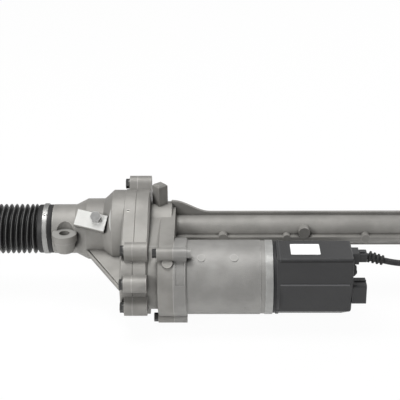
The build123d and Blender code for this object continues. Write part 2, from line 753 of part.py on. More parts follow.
def rack_housing():
    """Long casting: right half of the belt bay, hub, motor wall, tube, pinion tower, right neck."""
    cone = TUBE_CONE
    body = turned([(cover_end - BELT_WALL, 0), (cover_end - BELT_WALL, HUB_RADIUS), (hub_end, HUB_RADIUS),
                   (hub_end + cone, TUBE_RADIUS), (tube_end, TUBE_RADIUS),
                   (tube_end + 2 * cone, NECK_RADIUS), (right_mouth - BOOT_SEAT_LENGTH, NECK_RADIUS),
                   (right_mouth - BOOT_SEAT_LENGTH, BOOT_SEAT_RADIUS),
                   (right_mouth, BOOT_SEAT_RADIUS), (right_mouth, 0)])
    flange = along(belt_outline(BELT_BAY_RADIUS, MOTOR_LOBE_RADIUS), seam, cover_end)
    flange = chamfer(flange.edges().group_by(Axis.X)[-1], COVER_BREAK)
    flange = chamfer(flange.edges().group_by(Axis.X)[0], SEAM_BREAK)
    body += flange + lugs(flange_bolt_places(), seam, cover_end, LUG_RADIUS)
    wall = along(rear_wall_outline(), motor_wall_start, motor_wall_end)
    wall = chamfer(wall.edges().group_by(Axis.X)[0], WALL_BREAK)
    body += wall + lugs(motor_bolt_places(), motor_head_seat, motor_wall_end, MOTOR_LUG_RADIUS)
    nose = belt_outline(RACK_NOSE_RADIUS, MOTOR_NOSE_RADIUS)
    body += along(nose, cover_end - BELT_WALL, motor_wall_start + 1)
    fin_end = pinion_x - TOWER_RADIUS / 2
    body += block(hub_end, fin_end, RIB_SHIFT, RIB_SHIFT + RIB_THICKNESS, 0, RIB_HEIGHT)
    body += block(hub_end, fin_end, -RIB_THICKNESS / 2, RIB_THICKNESS / 2, -RIB_HEIGHT, 0)
    body += block(hub_end, fin_end, -FIN_REACH, 0, -FIN_THICKNESS, 0)
    body += block(hub_end, fin_end, 0, REAR_FIN_REACH, -FIN_THICKNESS, 0)
    gusset = [(hub_end - 2, 0), (hub_end - 2, HUB_RADIUS)]
    drop = HUB_RADIUS + GUSSET_RISE - RIB_HEIGHT
    for step in range(GUSSET_STEPS + 1):
        share = step / GUSSET_STEPS
        gusset.append((hub_end + GUSSET_LENGTH * share, RIB_HEIGHT + drop * (1 + cos(pi * share)) / 2))
    gusset.append((hub_end + GUSSET_LENGTH, 0))
    profile = Plane(origin=(0, RIB_SHIFT, 0), x_dir=(1, 0, 0), z_dir=(0, -1, 0))
    body += extrude(profile * make_face(Polyline(*gusset, close=True)), -RIB_THICKNESS)
    crown_foot = HUB_RADIUS - CROWN_SINK
    crown = Pos(CROWN_X, RIB_SHIFT, (crown_foot + CROWN_TOP) / 2) * Rot(0, 0, CROWN_TURN)
    column = Box(CROWN_WIDTH, CROWN_WIDTH, CROWN_TOP - crown_foot)
    body += crown * chamfer(column.edges().group_by(Axis.Z)[-1], CROWN_BREAK)
    stub = Plane(origin=(motor_wall_start + STUB_FROM_WALL, motor_y, motor_z), x_dir=(1, 0, 0),
                 z_dir=(0, cos(radians(STUB_ANGLE)), sin(radians(STUB_ANGLE))))
    body += stub * post(0, 0, MOTOR_FLANGE_RADIUS - STUB_SINK, MOTOR_FLANGE_RADIUS + STUB_PROUD, STUB_RADIUS)
    body += fin_bosses() + tower() + mounting_eye(right_eye)
    body -= belt_room_right() + bar_room() + motor_room() + tower_room()
    body -= eye_bore(right_eye)
    body -= bolt_holes(flange_bolt_places(), seam - 1, seam + FLANGE_BOLT_GRIP, FLANGE_BOLT_RADIUS)
    body -= bolt_holes(motor_bolt_places(), motor_wall_start - 1, motor_wall_end + 1,
                       MOTOR_BOLT_RADIUS + BOLT_HOLE_GAP)
    body -= bolt_holes(motor_bolt_places(), motor_head_seat - MOTOR_HEAD_HEIGHT - 1, motor_head_seat,
                       MOTOR_HEAD_RADIUS + MOTOR_HEAD_ROOM)
    return body


def belt_room_right():
    """The right half of the belt bay."""
    return along(belt_outline(belt_bay_bore, MOTOR_LOBE_RADIUS - CAST_WALL), seam - 1, cover_end - BELT_WALL)


def bar_room():
    """The bar's bore, the bush's seat and the right boot's mouth."""
    bush = bar_bore + BUSH_WALL
    return turned([(seam - 1, 0), (seam - 1, bar_bore), (bush_start, bar_bore), (bush_start, bush),
                   (bush_start + BUSH_LENGTH, bush), (bush_start + BUSH_LENGTH, bar_bore),
                   (right_wall, bar_bore), (right_wall, NECK_BORE), (right_mouth + 1, NECK_BORE),
                   (right_mouth + 1, 0)])


def motor_room():
    """The way through for the motor's shaft, and the recess for its spigot."""
    return (rod(cover_end - BELT_WALL - 1, motor_wall_end + 1, MOTOR_BEARING_RADIUS + SHAFT_WAY_GAP, motor_axis)
            + rod(motor_wall_end - SPIGOT_LENGTH, motor_wall_end + 1, SPIGOT_RADIUS, motor_axis))


def tower_room():
    """The pinion's well with its two bearing seats, the plug's thread and the yoke's bore."""
    x, y = pinion_x, pinion_y
    half_face = PINION_FACE / 2
    room = post(x, y, -half_face - BEARING_SIDE_GAP, half_face + BEARING_SIDE_GAP, PINION_WELL_RADIUS)
    room += post(x, y, TOWER_FLOOR - 1, -half_face - BEARING_SIDE_GAP, LOWER_BEARING_RADIUS)
    room += post(x, y, half_face + BEARING_SIDE_GAP, TOWER_TOP + 1, UPPER_BEARING_RADIUS)
    for angle in SENSOR_SCREW_ANGLES:
        ear_x, ear_y = about((x, y), SENSOR_RADIUS + SENSOR_EAR_REACH, angle)
        room += post(ear_x, ear_y, TOWER_TOP - SENSOR_SCREW_GRIP, TOWER_TOP + 1, SENSOR_SCREW_RADIUS)
    return room + across(0, YOKE_BOSS_REACH + 1, YOKE_RADIUS + YOKE_GAP)


nut_right = belt_end
screw_start = nut_left - RACK_TRAVEL - SCREW_RUN_OUT
screw_end = nut_right + RACK_TRAVEL + SCREW_RUN_OUT
screw_root = BALL_TRACK_RADIUS - SCREW_BALL_RADIUS - BALL_PLAY
root_line = reference_line - ROOT_DEPTH * TOOTH_MODULE
half_tooth = pi * TOOTH_MODULE / 4
flank = tan(radians(PRESSURE_ANGLE))


def rack_bar():
    """The bar: screw on the left, straight teeth on the right, and a tapped hole in each end."""
    bar = rod(bar_left, bar_right, RACK_RADIUS)
    bar = chamfer(bar.edges(), BAR_BREAK)
    bar -= ring(screw_start, screw_end, RACK_RADIUS + 1, screw_root)
    reach = RACK_TRAVEL + TEETH_BEYOND_TRAVEL
    bar -= block(pinion_x - reach, pinion_x + reach, -RACK_RADIUS - 1, -RACK_FLAT, -RACK_RADIUS, RACK_RADIUS)
    tip = half_tooth + TOOTH_MODULE * flank
    root = half_tooth - ROOT_DEPTH * TOOTH_MODULE * flank
    gap = make_face(Polyline((-tip, -RACK_FLAT), (-root, -root_line), (root, -root_line),
                             (tip, -RACK_FLAT), (tip, -RACK_FLAT - 1), (-tip, -RACK_FLAT - 1), close=True))
    cutter = extrude(gap, RACK_RADIUS, both=True)
    count = int((reach - half_tooth) / tooth_pitch)
    for step in range(-count, count + 1):
        bar -= Pos(pinion_x + step * tooth_pitch, 0, 0) * cutter
    bar -= rod(bar_left - 1, bar_left + STUD_LENGTH, STUD_RADIUS)
    bar -= rod(bar_right - STUD_LENGTH, bar_right + 1, STUD_RADIUS)
    return bar


def ball_nut():
    """The nut: a sleeve with ball tracks inside, a shoulder for its bearing and a seat for the pulley."""
    outside = ring(nut_left, bearing_start, NUT_RADIUS, RACK_RADIUS + NUT_BORE_GAP)
    outside += ring(bearing_start, nut_right, NUT_SEAT_RADIUS, RACK_RADIUS + NUT_BORE_GAP)
    depth = BALL_TRACK_RADIUS + SCREW_BALL_RADIUS + BALL_PLAY
    reach = SCREW_BALL_RADIUS + BALL_PLAY
    for x in ball_turns():
        outside -= ring(x - reach, x + reach, depth, RACK_RADIUS)
    x0, x1 = return_span()
    half = RETURN_WIDTH / 2
    return outside - block(x0, x1, -half, half, NUT_RADIUS - RETURN_DEPTH, NUT_RADIUS + 1)


def ball_turns():
    """Stations of the ball circuits in the nut."""
    first = nut_left + FIRST_BALL_TURN
    return [first + turn * SCREW_LEAD / 2 for turn in range(BALL_CIRCUITS)]


def return_span():
    """The two ends of the ball return along the nut."""
    turns = ball_turns()
    return turns[0] - SCREW_BALL_RADIUS, turns[-1] + SCREW_BALL_RADIUS


def ball_return():
    """Insert that lifts the balls out of the last turn and leads them back to the first."""
    x0, x1 = return_span()
    half = RETURN_WIDTH / 2
    insert = block(x0, x1, -half, half, NUT_RADIUS - RETURN_DEPTH, NUT_RADIUS - RETURN_SINK)
    return chamfer(insert.edges().group_by(Axis.Z)[-1], RETURN_BREAK)


def screw_balls():
    """Balls that carry the load between the nut and the bar's screw, each drawn with 26 flats."""
    half = SCREW_BALL_RADIUS / sqrt(1 + 2 * (sqrt(2) - 1) ** 2)
    ball = Box(2 * half, 2 * half, 2 * half)
    ball = chamfer(ball.edges(), (2 - sqrt(2)) * half)
    balls = Part()
    for x in ball_turns():
        for number in range(BALLS_PER_TURN):
            y, z = about((0, 0), BALL_TRACK_RADIUS, 360 * number / BALLS_PER_TURN + FIRST_BALL_ANGLE)
            balls += Pos(x, y, z) * ball
    return balls


bearing_middle = (bearing_start + bearing_end) / 2
bearing_pitch = (NUT_SEAT_RADIUS + NUT_BEARING_RADIUS) / 2


def race_groove():
    """The shallow eight-sided track that the bearing's balls run in."""
    reach = BEARING_BALL_RADIUS + SEAT_GAP
    flat = reach * tan(radians(22.5))
    corners = [(-reach, -flat), (-reach, flat), (-flat, reach), (flat, reach),
               (reach, flat), (reach, -flat), (flat, -reach), (-flat, -reach)]
    return turned([(bearing_middle + x, bearing_pitch + rise) for x, rise in corners])


def nut_bearing_outer():
    """Outer ring of the nut's ball bearing, held in the left casting."""
    return ring(bearing_start, bearing_end, NUT_BEARING_RADIUS, bearing_pitch + RACE_GAP) - race_groove()


def nut_bearing_inner():
    """Inner ring of the nut's ball bearing, pressed on the nut."""
    return ring(bearing_start, bearing_end, bearing_pitch - RACE_GAP, NUT_SEAT_RADIUS) - race_groove()


def nut_bearing_balls():
    """Balls of the nut's bearing."""
    balls = Part()
    for number in range(NUT_BEARING_BALLS):
        y, z = about((0, 0), bearing_pitch, 360 * number / NUT_BEARING_BALLS)
        balls += Pos(bearing_middle, y, z) * Sphere(BEARING_BALL_RADIUS)
    return balls


def bearing_lock_ring():
    """Threaded ring that clamps the nut's bearing in the casting."""
    inner = bearing_pitch + RACE_GAP
    lock = ring(bearing_end, belt_bay_floor, NUT_BEARING_RADIUS, inner)
    for number in range(LOCK_HOLES):
        centre = about((0, 0), (NUT_BEARING_RADIUS + inner) / 2, 360 * number / LOCK_HOLES)
        lock -= rod(bearing_end + 1, belt_bay_floor + 1, LOCK_HOLE_RADIUS, centre)
    return lock


def toothed_pulley(radius, teeth, bore, centre):
    """A pulley with straight teeth for the belt."""
    disc = Circle(radius) - Circle(bore)
    pitch = 2 * pi * radius / teeth
    foot = radius - PULLEY_TOOTH_DEPTH
    mouth = radius + NOTCH_OVERRUN
    notch = make_face(Polyline((foot, -pitch * NOTCH_FOOT), (mouth, -pitch * NOTCH_MOUTH),
                               (mouth, pitch * NOTCH_MOUTH), (foot, pitch * NOTCH_FOOT), close=True))
    for number in range(teeth):
        disc -= Rot(0, 0, 360 * number / teeth) * notch
    return along(Pos(*centre) * disc, belt_start, belt_end)


def driven_pulley():
    """Large pulley on the nut, with a groove that lightens each side."""
    pulley = toothed_pulley(DRIVEN_RADIUS, DRIVEN_TEETH, NUT_SEAT_RADIUS, (0, 0))
    rim = DRIVEN_RADIUS - PULLEY_TOOTH_DEPTH - PULLEY_RIM
    hub = NUT_SEAT_RADIUS + PULLEY_HUB
    pulley -= ring(belt_start - 1, belt_start + PULLEY_LIGHTENING, rim, hub)
    pulley -= ring(belt_end - PULLEY_LIGHTENING, belt_end + 1, rim, hub)
    return pulley


def drive_pulley():
    """Small pulley on the motor's shaft, with a flange each side that keeps the belt on."""
    teeth = int(DRIVEN_TEETH / BELT_RATIO)
    pulley = toothed_pulley(drive_radius, teeth, MOTOR_SHAFT_RADIUS, motor_axis)
    rim = drive_radius + BELT_GAP + PULLEY_FLANGE_RISE
    collar = drive_radius - PULLEY_TOOTH_DEPTH - COLLAR_SINK
    for x0, x1 in ((pulley_start, belt_start - BELT_GAP), (belt_end + BELT_GAP, pulley_end)):
        pulley += ring(x0, x1, rim, MOTOR_SHAFT_RADIUS, motor_axis)
    pulley += ring(pulley_start, belt_start, collar, MOTOR_SHAFT_RADIUS, motor_axis)
    return pulley + ring(belt_end, pulley_end, collar, MOTOR_SHAFT_RADIUS, motor_axis)


def drive_belt():
    """The belt round both pulleys."""
    inner = BELT_GAP
    outer = BELT_GAP + BELT_THICKNESS
    band = (belt_outline(DRIVEN_RADIUS + outer, drive_radius + outer)
            - belt_outline(DRIVEN_RADIUS + inner, drive_radius + inner))
    return along(band, belt_start, belt_end)


rear_bearing_start = motor_end - UNIT_BASE - MOTOR_BEARING_WIDTH
front_bearing_start = motor_wall_end + MOTOR_BEARING_INSET
motor_bearing_track = MOTOR_BEARING_RADIUS - MOTOR_RING_THICKNESS
stator_middle = (motor_start + motor_end) / 2 - STATOR_SHIFT
stator_start = stator_middle - STATOR_LENGTH / 2
stator_end = stator_middle + STATOR_LENGTH / 2


def motor_shaft():
    """Shaft of the motor, from the small pulley to the rear bearing."""
    shaft = rod(pulley_start, rear_bearing_start + MOTOR_BEARING_WIDTH, MOTOR_SHAFT_RADIUS, motor_axis)
    return chamfer(shaft.edges(), SHAFT_BREAK)


def rotor_magnet_bars(longer=0.0):
    """Magnet bars set in the rotor."""
    bars = Part()
    reach = STATOR_BORE - AIR_GAP - MAGNET_SINK
    for number in range(ROTOR_POLES):
        y, z = about(motor_axis, reach, 360 * number / ROTOR_POLES)
        bar = Pos(y, z) * Rot(0, 0, 360 * number / ROTOR_POLES) * Rectangle(MAGNET_THICKNESS, MAGNET_WIDTH)
        bars += along(bar, stator_start - longer, stator_end + longer)
    return bars


def rotor_core():
    """Laminated core on the motor's shaft."""
    core = ring(stator_start, stator_end, STATOR_BORE - AIR_GAP, MOTOR_SHAFT_RADIUS, motor_axis)
    return core - rotor_magnet_bars(1)


def stator_core():
    """Laminated ring with a slot for each coil."""
    section = Circle(MOTOR_RADIUS - MOTOR_CAN_WALL) - Circle(STATOR_BORE)
    for number in range(STATOR_SLOTS):
        section -= Rot(0, 0, 360 * number / STATOR_SLOTS) * coil_section(0)
    return along(Pos(*motor_axis) * section, stator_start, stator_end)


def coil_section(gap):
    """Section of one slot, or of the winding in it."""
    reach = STATOR_BORE + SLOT_DEPTH
    section = Rectangle(SLOT_DEPTH + 1 - 2 * gap, SLOT_WIDTH - 2 * gap)
    return Pos((STATOR_BORE - 1 + reach) / 2 + gap, 0) * section


def stator_windings():
    """Coils in the slots, joined by their end turns."""
    sides = Sketch()
    for number in range(STATOR_SLOTS):
        sides += Rot(0, 0, 360 * number / STATOR_SLOTS) * coil_section(COIL_GAP)
    coils = along(Pos(*motor_axis) * sides, stator_start - END_TURN, stator_end + END_TURN)
    outer = STATOR_BORE + SLOT_DEPTH - COIL_GAP
    inner = STATOR_BORE + COIL_INSET
    coils += ring(stator_start - END_TURN, stator_start, outer, inner, motor_axis)
    return coils + ring(stator_end, stator_end + END_TURN, outer, inner, motor_axis)


def motor_bearing(x0, outer, inner):
    """One ring of a motor bearing."""
    return ring(x0, x0 + MOTOR_BEARING_WIDTH, outer, inner, motor_axis)


def motor_bearing_outers():
    """Outer rings of the motor's two bearings, each with its cage of balls."""
    outer = motor_bearing_track
    inner = MOTOR_SHAFT_RADIUS + MOTOR_RING_THICKNESS + SEAT_GAP
    rings = Part()
    for x in (front_bearing_start, rear_bearing_start):
        rings += motor_bearing(x, MOTOR_BEARING_RADIUS, outer)
        cage_end = x + MOTOR_BEARING_WIDTH - MOTOR_CAGE_INSET
        rings += ring(x + MOTOR_CAGE_INSET, cage_end, outer, inner, motor_axis)
    return rings


def motor_bearing_inners():
    """Inner rings of the motor's two bearings, on the shaft."""
    outer = MOTOR_SHAFT_RADIUS + MOTOR_RING_THICKNESS
    return (motor_bearing(front_bearing_start, outer, MOTOR_SHAFT_RADIUS)
            + motor_bearing(rear_bearing_start, outer, MOTOR_SHAFT_RADIUS))


def motor_pocket():
    """Shallow pocket in the front of the motor's flange."""
    low, high = MOTOR_POCKET_ANGLES
    reach = 2 * MOTOR_FLANGE_RADIUS
    corners = [motor_axis, about(motor_axis, reach, low), about(motor_axis, reach, high)]
    sector = make_face(Polyline(*corners, close=True))
    band = Pos(*motor_axis) * (Circle(reach) - Circle(MOTOR_FLANGE_RADIUS - MOTOR_POCKET_DEPTH))
    return along(sector & band, motor_wall_end + MOTOR_POCKET_MARGIN, motor_start - MOTOR_POCKET_MARGIN)


def motor_housing():
    """Cast housing of the motor: flange with three ears, spigot, can and a groove near its end."""
    x_end = motor_end - END_COVER_WIDTH
    can = rod(motor_start, x_end, MOTOR_RADIUS, motor_axis)
    flange = rod(motor_wall_end, motor_start, MOTOR_FLANGE_RADIUS, motor_axis)
    flange = chamfer(flange.edges().group_by(Axis.X)[-1], WALL_BREAK)
    body = can + flange - motor_pocket()
    body += lugs(motor_bolt_places(), motor_wall_end, motor_start, MOTOR_LUG_RADIUS)
    body += rod(motor_start, motor_start + MOTOR_LUG_TAIL, MOTOR_TAIL_RADIUS, motor_bolt_places()[0][0])
    body += rod(motor_wall_end - SPIGOT_LENGTH + SPIGOT_END_GAP, motor_wall_end, SPIGOT_RADIUS - SPIGOT_GAP,
                motor_axis)
    for x in MOTOR_DISC_STATIONS:
        plane = Plane(origin=(x, motor_y, motor_z), x_dir=(1, 0, 0),
                      z_dir=(0, cos(radians(MOTOR_DISC_ANGLE)), sin(radians(MOTOR_DISC_ANGLE))))
        body += plane * post(0, 0, MOTOR_RADIUS - MOTOR_DISC_SINK, MOTOR_RADIUS + MOTOR_DISC_RISE,
                             MOTOR_DISC_RADIUS)
    body -= ring(x_end - GROOVE_WIDTH, x_end, MOTOR_RADIUS + 1, MOTOR_RADIUS - GROOVE_DEPTH, motor_axis)
    body -= rod(motor_start - MOTOR_FLANGE_FLOOR, x_end + 1, MOTOR_RADIUS - MOTOR_CAN_WALL, motor_axis)
    body -= rod(motor_wall_end - SPIGOT_LENGTH, motor_start, MOTOR_SHAFT_RADIUS + MOTOR_SHAFT_ROOM, motor_axis)
    body -= rod(front_bearing_start, motor_start, MOTOR_BEARING_RADIUS, motor_axis)
    body -= bolt_holes(motor_bolt_places(), motor_wall_end - 1, motor_start - MOTOR_BOLT_REST,
                       MOTOR_BOLT_RADIUS)
    return body


def motor_end_cover():
    """Rear cover of the motor: it holds the rear bearing, the control unit and the board's posts."""
    x_end = motor_end - END_COVER_WIDTH
    cover = rod(x_end, motor_end, MOTOR_RADIUS, motor_axis)
    cover -= rod(x_end - 1, motor_end - UNIT_BASE, MOTOR_RADIUS - MOTOR_CAN_WALL, motor_axis)
    cover += ring(rear_bearing_start, motor_end - UNIT_BASE, MOTOR_BEARING_RADIUS + BEARING_SEAT_WALL,
                  MOTOR_BEARING_RADIUS, motor_axis)
    cover += rod(motor_end, unit_start, MOTOR_RADIUS - END_STEP, motor_axis)
    for angle in BOARD_POST_ANGLES:
        cover += rod(unit_start, board_x, BOARD_POST_RADIUS, about(motor_axis, BOARD_POST_REACH, angle))
    return cover


def motor_bolts():
    """Bolts that hold the motor to the motor wall of the long casting."""
    bolts = Part()
    for centre, _ in motor_bolt_places():
        bolts += hexagon(motor_head_seat - MOTOR_HEAD_HEIGHT, motor_head_seat, MOTOR_HEAD_RADIUS, centre)
        bolts += rod(motor_head_seat, motor_start - MOTOR_BOLT_REST, MOTOR_BOLT_RADIUS, centre)
    return bolts


def unit_outline():
    """Section of the control unit about the motor's axis: flat on top, upright in front, round under."""
    corners = [(-UNIT_FRONT, UNIT_TOP), (-UNIT_FRONT, UNIT_EDGE), *UNIT_FRONT_CORNERS, *UNIT_REAR_CORNERS,
               (UNIT_BACK, UNIT_TOP)]
    return Pos(*motor_axis) * make_face(Polyline(*corners, close=True))


lid_seat = motor_z + UNIT_TOP - LID_THICKNESS


def unit_shape():
    """Outer form of the control unit, lid and housing together."""
    form = along(unit_outline(), unit_start, unit_end)
    form = fillet(form.edges().filter_by(Axis.X), UNIT_EDGE_ROUND)
    return fillet(form.edges().group_by(Axis.X)[-1], UNIT_CORNER) - unit_cut()


def unit_cut():
    """Wedge that slopes the lower part of the control unit's end."""
    length, top, bottom = UNIT_CUT
    drop = bottom - top
    wedge = [(unit_end, motor_z + top), (unit_end - length, motor_z + bottom),
             (unit_end - 2 * length, motor_z + bottom + drop), (unit_end + length, motor_z + bottom + drop),
             (unit_end + length, motor_z + top)]
    profile = Plane.XZ * make_face(Polyline(*wedge, close=True))
    return Pos(0, motor_y, 0) * extrude(profile, 2 * UNIT_FRONT, both=True)


def lid_zone(inset, low, high):
    """The block above the lid's seat, drawn in from the outline."""
    return block(unit_start + UNIT_RIM + inset, unit_end + 1 - 2 * inset, motor_y - UNIT_FRONT + inset,
                 motor_y + UNIT_BACK + UNIT_EDGE_ROUND - inset, low, high)


def unit_lid():
    """Flat plastic lid on top of the control unit, on a step that leaves a fine joint line round it."""
    lid = unit_shape() & lid_zone(0, lid_seat, lid_seat + 2 * LID_THICKNESS)
    return lid + lid_zone(UNIT_CORNER, lid_seat - LID_JOINT, lid_seat)


def unit_housing():
    """Plastic housing of the control unit, open at the motor's end and under its lid."""
    body = unit_shape() - lid_zone(0, lid_seat - LID_JOINT, lid_seat + 2 * LID_THICKNESS)
    body -= lid_zone(UNIT_CORNER + LID_SHELF, lid_seat - ROOF - LID_SHELF, lid_seat)
    hollow = along(offset(unit_outline(), -UNIT_WALL), unit_start - 1, unit_end - UNIT_WALL - UNIT_CORNER)
    roof = block(unit_start - 2, unit_end + 1, motor_y - 2 * UNIT_FRONT, motor_y + 2 * UNIT_FRONT,
                 lid_seat - ROOF, lid_seat + UNIT_FRONT)
    body -= hollow - roof - Pos(-2 * UNIT_WALL, 0, 0) * unit_cut()
    body += ring(unit_start, unit_start + UNIT_RIM, UNIT_RIM_RADIUS, UNIT_RIM_RADIUS - UNIT_RIM_WALL,
                 motor_axis)
    ridge = block(unit_start + RIDGE_INSET, unit_end - RIDGE_INSET, motor_y - UNIT_FRONT - RIDGE_RISE,
                  motor_y - UNIT_FRONT + 1, motor_z + UNIT_EDGE - RIDGE_HEIGHT / 2,
                  motor_z + UNIT_EDGE + RIDGE_HEIGHT / 2)
    return body + ridge


def circuit_board():
    """Board across the motor's axis with its capacitors and choke, on the posts of the end cover."""
    top = board_x + BOARD_THICKNESS
    board = along(offset(unit_outline(), -UNIT_WALL - BOARD_GAP), board_x, top)
    board -= block(board_x - 1, top + 1, motor_y - 2 * UNIT_FRONT, motor_y + 2 * UNIT_FRONT,
                   lid_seat - ROOF - 1, lid_seat + UNIT_FRONT)
    for y, z in CAPACITOR_PLACES:
        board += rod(top, top + CAPACITOR_HEIGHT, CAPACITOR_RADIUS, (motor_y + y, motor_z + z))
    y, z = CHOKE_PLACE
    return board + ring(top, top + CHOKE_HEIGHT, CHOKE_RADIUS, CHOKE_BORE, (motor_y + y, motor_z + z))


torque_x, torque_y, torque_z = TORQUE_PLUG_PLACE
torque_plane = Plane(origin=(pinion_x + torque_x, pinion_y + torque_y, torque_z), z_dir=TORQUE_PLUG_HEADING)
board_x = unit_start + BOARD_POSTS
power_place = (motor_y - POWER_FORWARD, motor_z - POWER_DROP)


def power_socket():
    """Open socket for the supply plug, with its two blades."""
    y, z = power_place
    outer = RectangleRounded(POWER_PLUG_WIDTH, POWER_PLUG_HEIGHT, POWER_CORNER)
    shell = along(Pos(y, z) * outer, unit_end, unit_end + POWER_PLUG_DEPTH)
    inner = RectangleRounded(POWER_PLUG_WIDTH - 2 * PLUG_WALL, POWER_PLUG_HEIGHT - 2 * PLUG_WALL,
                             POWER_INNER_CORNER)
    shell -= along(Pos(y, z) * inner, unit_end + PLUG_WALL, unit_end + POWER_PLUG_DEPTH + 1)
    start, width, sink, rise = POWER_RIB
    top = z + POWER_PLUG_HEIGHT / 2
    shell += block(unit_end + start, unit_end + POWER_PLUG_DEPTH, y - width / 2, y + width / 2, top - sink,
                   top + rise)
    width, thickness = BLADE_SIZE
    for blade_z in (z - BLADE_SPREAD, z + BLADE_SPREAD):
        shell += block(unit_end + PLUG_WALL - BLADE_ROOT, unit_end + BLADE_LENGTH, y - width / 2, y + width / 2,
                       blade_z - thickness / 2, blade_z + thickness / 2)
    return shell


lead_route = [Vector(362, -92, 4.5), Vector(387, -95, -1.5), Vector(416, -96, 6), Vector(440, -87, 30),
              Vector(457.5, -66.6, 51), Vector(474.3, -46.6, 51)]
lead_start = Plane(origin=lead_route[0], z_dir=lead_route[1] - lead_route[0])
grommet_end = Plane(origin=(unit_end + SIGNAL_LEAD_REACH, *SIGNAL_LEAD_PLACE), z_dir=SIGNAL_LEAD_HEADING)
signal_place = tuple(at + rise for at, rise in zip(SIGNAL_LEAD_PLACE, SIGNAL_PLUG_RISE))


def sensor_socket():
    """Socket on the control unit's end for the torque sensor's plug."""
    y, z = signal_place
    outer = RectangleRounded(*SIGNAL_SOCKET, SIGNAL_SOCKET_CORNER)
    width, height = SIGNAL_PLUG
    inner = RectangleRounded(width + 2 * SIGNAL_PLUG_GAP, height + 2 * SIGNAL_PLUG_GAP, SIGNAL_PLUG_CORNER)
    shell = along(Pos(y, z) * outer, unit_end - UNIT_CORNER, unit_end + SIGNAL_SOCKET_DEPTH)
    shell -= along(Pos(y, z) * inner, unit_end, unit_end + SIGNAL_SOCKET_DEPTH + 1)
    return shell - unit_shape()


def sensor_plug():
    """Plug of the torque sensor's lead, with its neck and latch."""
    y, z = signal_place
    outline = Pos(y, z) * RectangleRounded(*SIGNAL_PLUG, SIGNAL_PLUG_CORNER)
    body = along(outline, unit_end + SIGNAL_PLUG_SEAT, unit_end + SIGNAL_PLUG_LENGTH)
    start, end = (unit_end + station for station in LATCH_SPAN)
    body += block(start, end, y - LATCH_WIDTH / 2, y + LATCH_WIDTH / 2, z + LATCH_ROOT, z + LATCH_TOP)
    return body + grommet_end * post(0, 0, -GROMMET_LENGTH - PLUG_NECK, -GROMMET_LENGTH, LEAD_RADIUS)


def grommet():
    """Ribbed rubber sleeve that guards the lead where it leaves its plug."""
    sleeve = post(0, 0, -GROMMET_LENGTH, 0, LEAD_RADIUS + GROMMET_WALL)
    for number in range(GROMMET_RIBS):
        low = -GROMMET_LENGTH + GROMMET_RIB_START + number * GROMMET_RIB_PITCH
        sleeve += post(0, 0, low, low + GROMMET_RIB_WIDTH, LEAD_RADIUS + GROMMET_RIB_WALL)
    return grommet_end * sleeve


def lead_radii():
    """Bend radius at each inner point of the lead's route."""
    radii = []
    for a, b, c in zip(lead_route, lead_route[1:], lead_route[2:]):
        turn = (b - a).get_angle(c - b)
        run = min((b - a).length, (c - b).length)
        radii.append(LEAD_ARC_SHARE * run / tan(radians(turn / 2)))
    return radii


def sensor_lead():
    """Sheathed lead from the control unit to the torque sensor."""
    radii = lead_radii()
    path = FilletPolyline(*lead_route, radius=radii)
    print("lead radii", [round(r, 1) for r in radii], "length", round(path.length, 1))
    tube = sweep(lead_start * Circle(LEAD_RADIUS), path=path)
    print("lead volume against section times length", tube.volume / (pi * LEAD_RADIUS ** 2 * path.length))
    return tube


def torque_plug():
    """Plug of the lead at the torque sensor."""
    outline = RectangleRounded(*TORQUE_PLUG, TORQUE_PLUG_CORNER)
    body = Pos(0, 0, TORQUE_PLUG_NECK) * extrude(outline, TORQUE_PLUG_LENGTH)
    neck = post(0, 0, 0, TORQUE_PLUG_NECK + TORQUE_PLUG_NECK_OVERLAP, LEAD_RADIUS + TORQUE_PLUG_NECK_WALL)
    return torque_plane * (body + neck)


def involute(radius):
    """Angle between an involute's start and its point at a radius."""
    slope = acos(min(1.0, base_radius / radius))
    return tan(slope) - slope


def pinion_outline():
    """Section of the pinion: involute teeth, thinned by the backlash."""
    thickness = TOOTH_MODULE * (pi / 2 + 2 * PROFILE_SHIFT * flank) - BACKLASH
    spread = thickness / 2 / pitch_radius + tan(radians(PRESSURE_ANGLE)) - radians(PRESSURE_ANGLE)
    foot = pitch_radius - (ROOT_DEPTH - PROFILE_SHIFT) * TOOTH_MODULE
    tip = pitch_radius + TIP_HEIGHT * TOOTH_MODULE
    side = [(foot, spread)]
    for step in range(FLANK_STEPS + 1):
        radius = base_radius + (tip - base_radius) * step / FLANK_STEPS
        side.append((radius, spread - involute(radius)))
    points = []
    for tooth in range(PINION_TEETH):
        middle = pi / 2 + 2 * pi * tooth / PINION_TEETH
        points += [(r * cos(middle - a), r * sin(middle - a)) for r, a in side]
        points += [(r * cos(middle + a), r * sin(middle + a)) for r, a in reversed(side)]
    return make_face(Polyline(*points, close=True))


half_face = PINION_FACE / 2
bearing_floor = half_face + BEARING_SIDE_GAP
sensor_floor = TOWER_TOP
sensor_top = TOWER_TOP + SENSOR_HEIGHT
pinion_top = sensor_floor + PINION_COLLAR
input_bottom = pinion_top + PINION_END_GAP
input_top = sensor_top + INPUT_STICK_OUT


def pinion_shaft():
    """Steering pinion with a journal each side, hollow for the torsion bar."""
    x, y = pinion_x, pinion_y
    shaft = extrude(Pos(x, y, -half_face) * pinion_outline(), PINION_FACE)
    shaft += post(x, y, -bearing_floor - BEARING_HEIGHT, -half_face, LOWER_JOURNAL)
    shaft += post(x, y, half_face, pinion_top, INPUT_RADIUS)
    return shaft - post(x, y, -half_face, pinion_top + 1, TORSION_RADIUS + SEAT_GAP)


def torsion_bar():
    """Thin bar that twists between the input shaft and the pinion."""
    return post(pinion_x, pinion_y, -half_face, input_top - INPUT_FLOOR, TORSION_RADIUS)


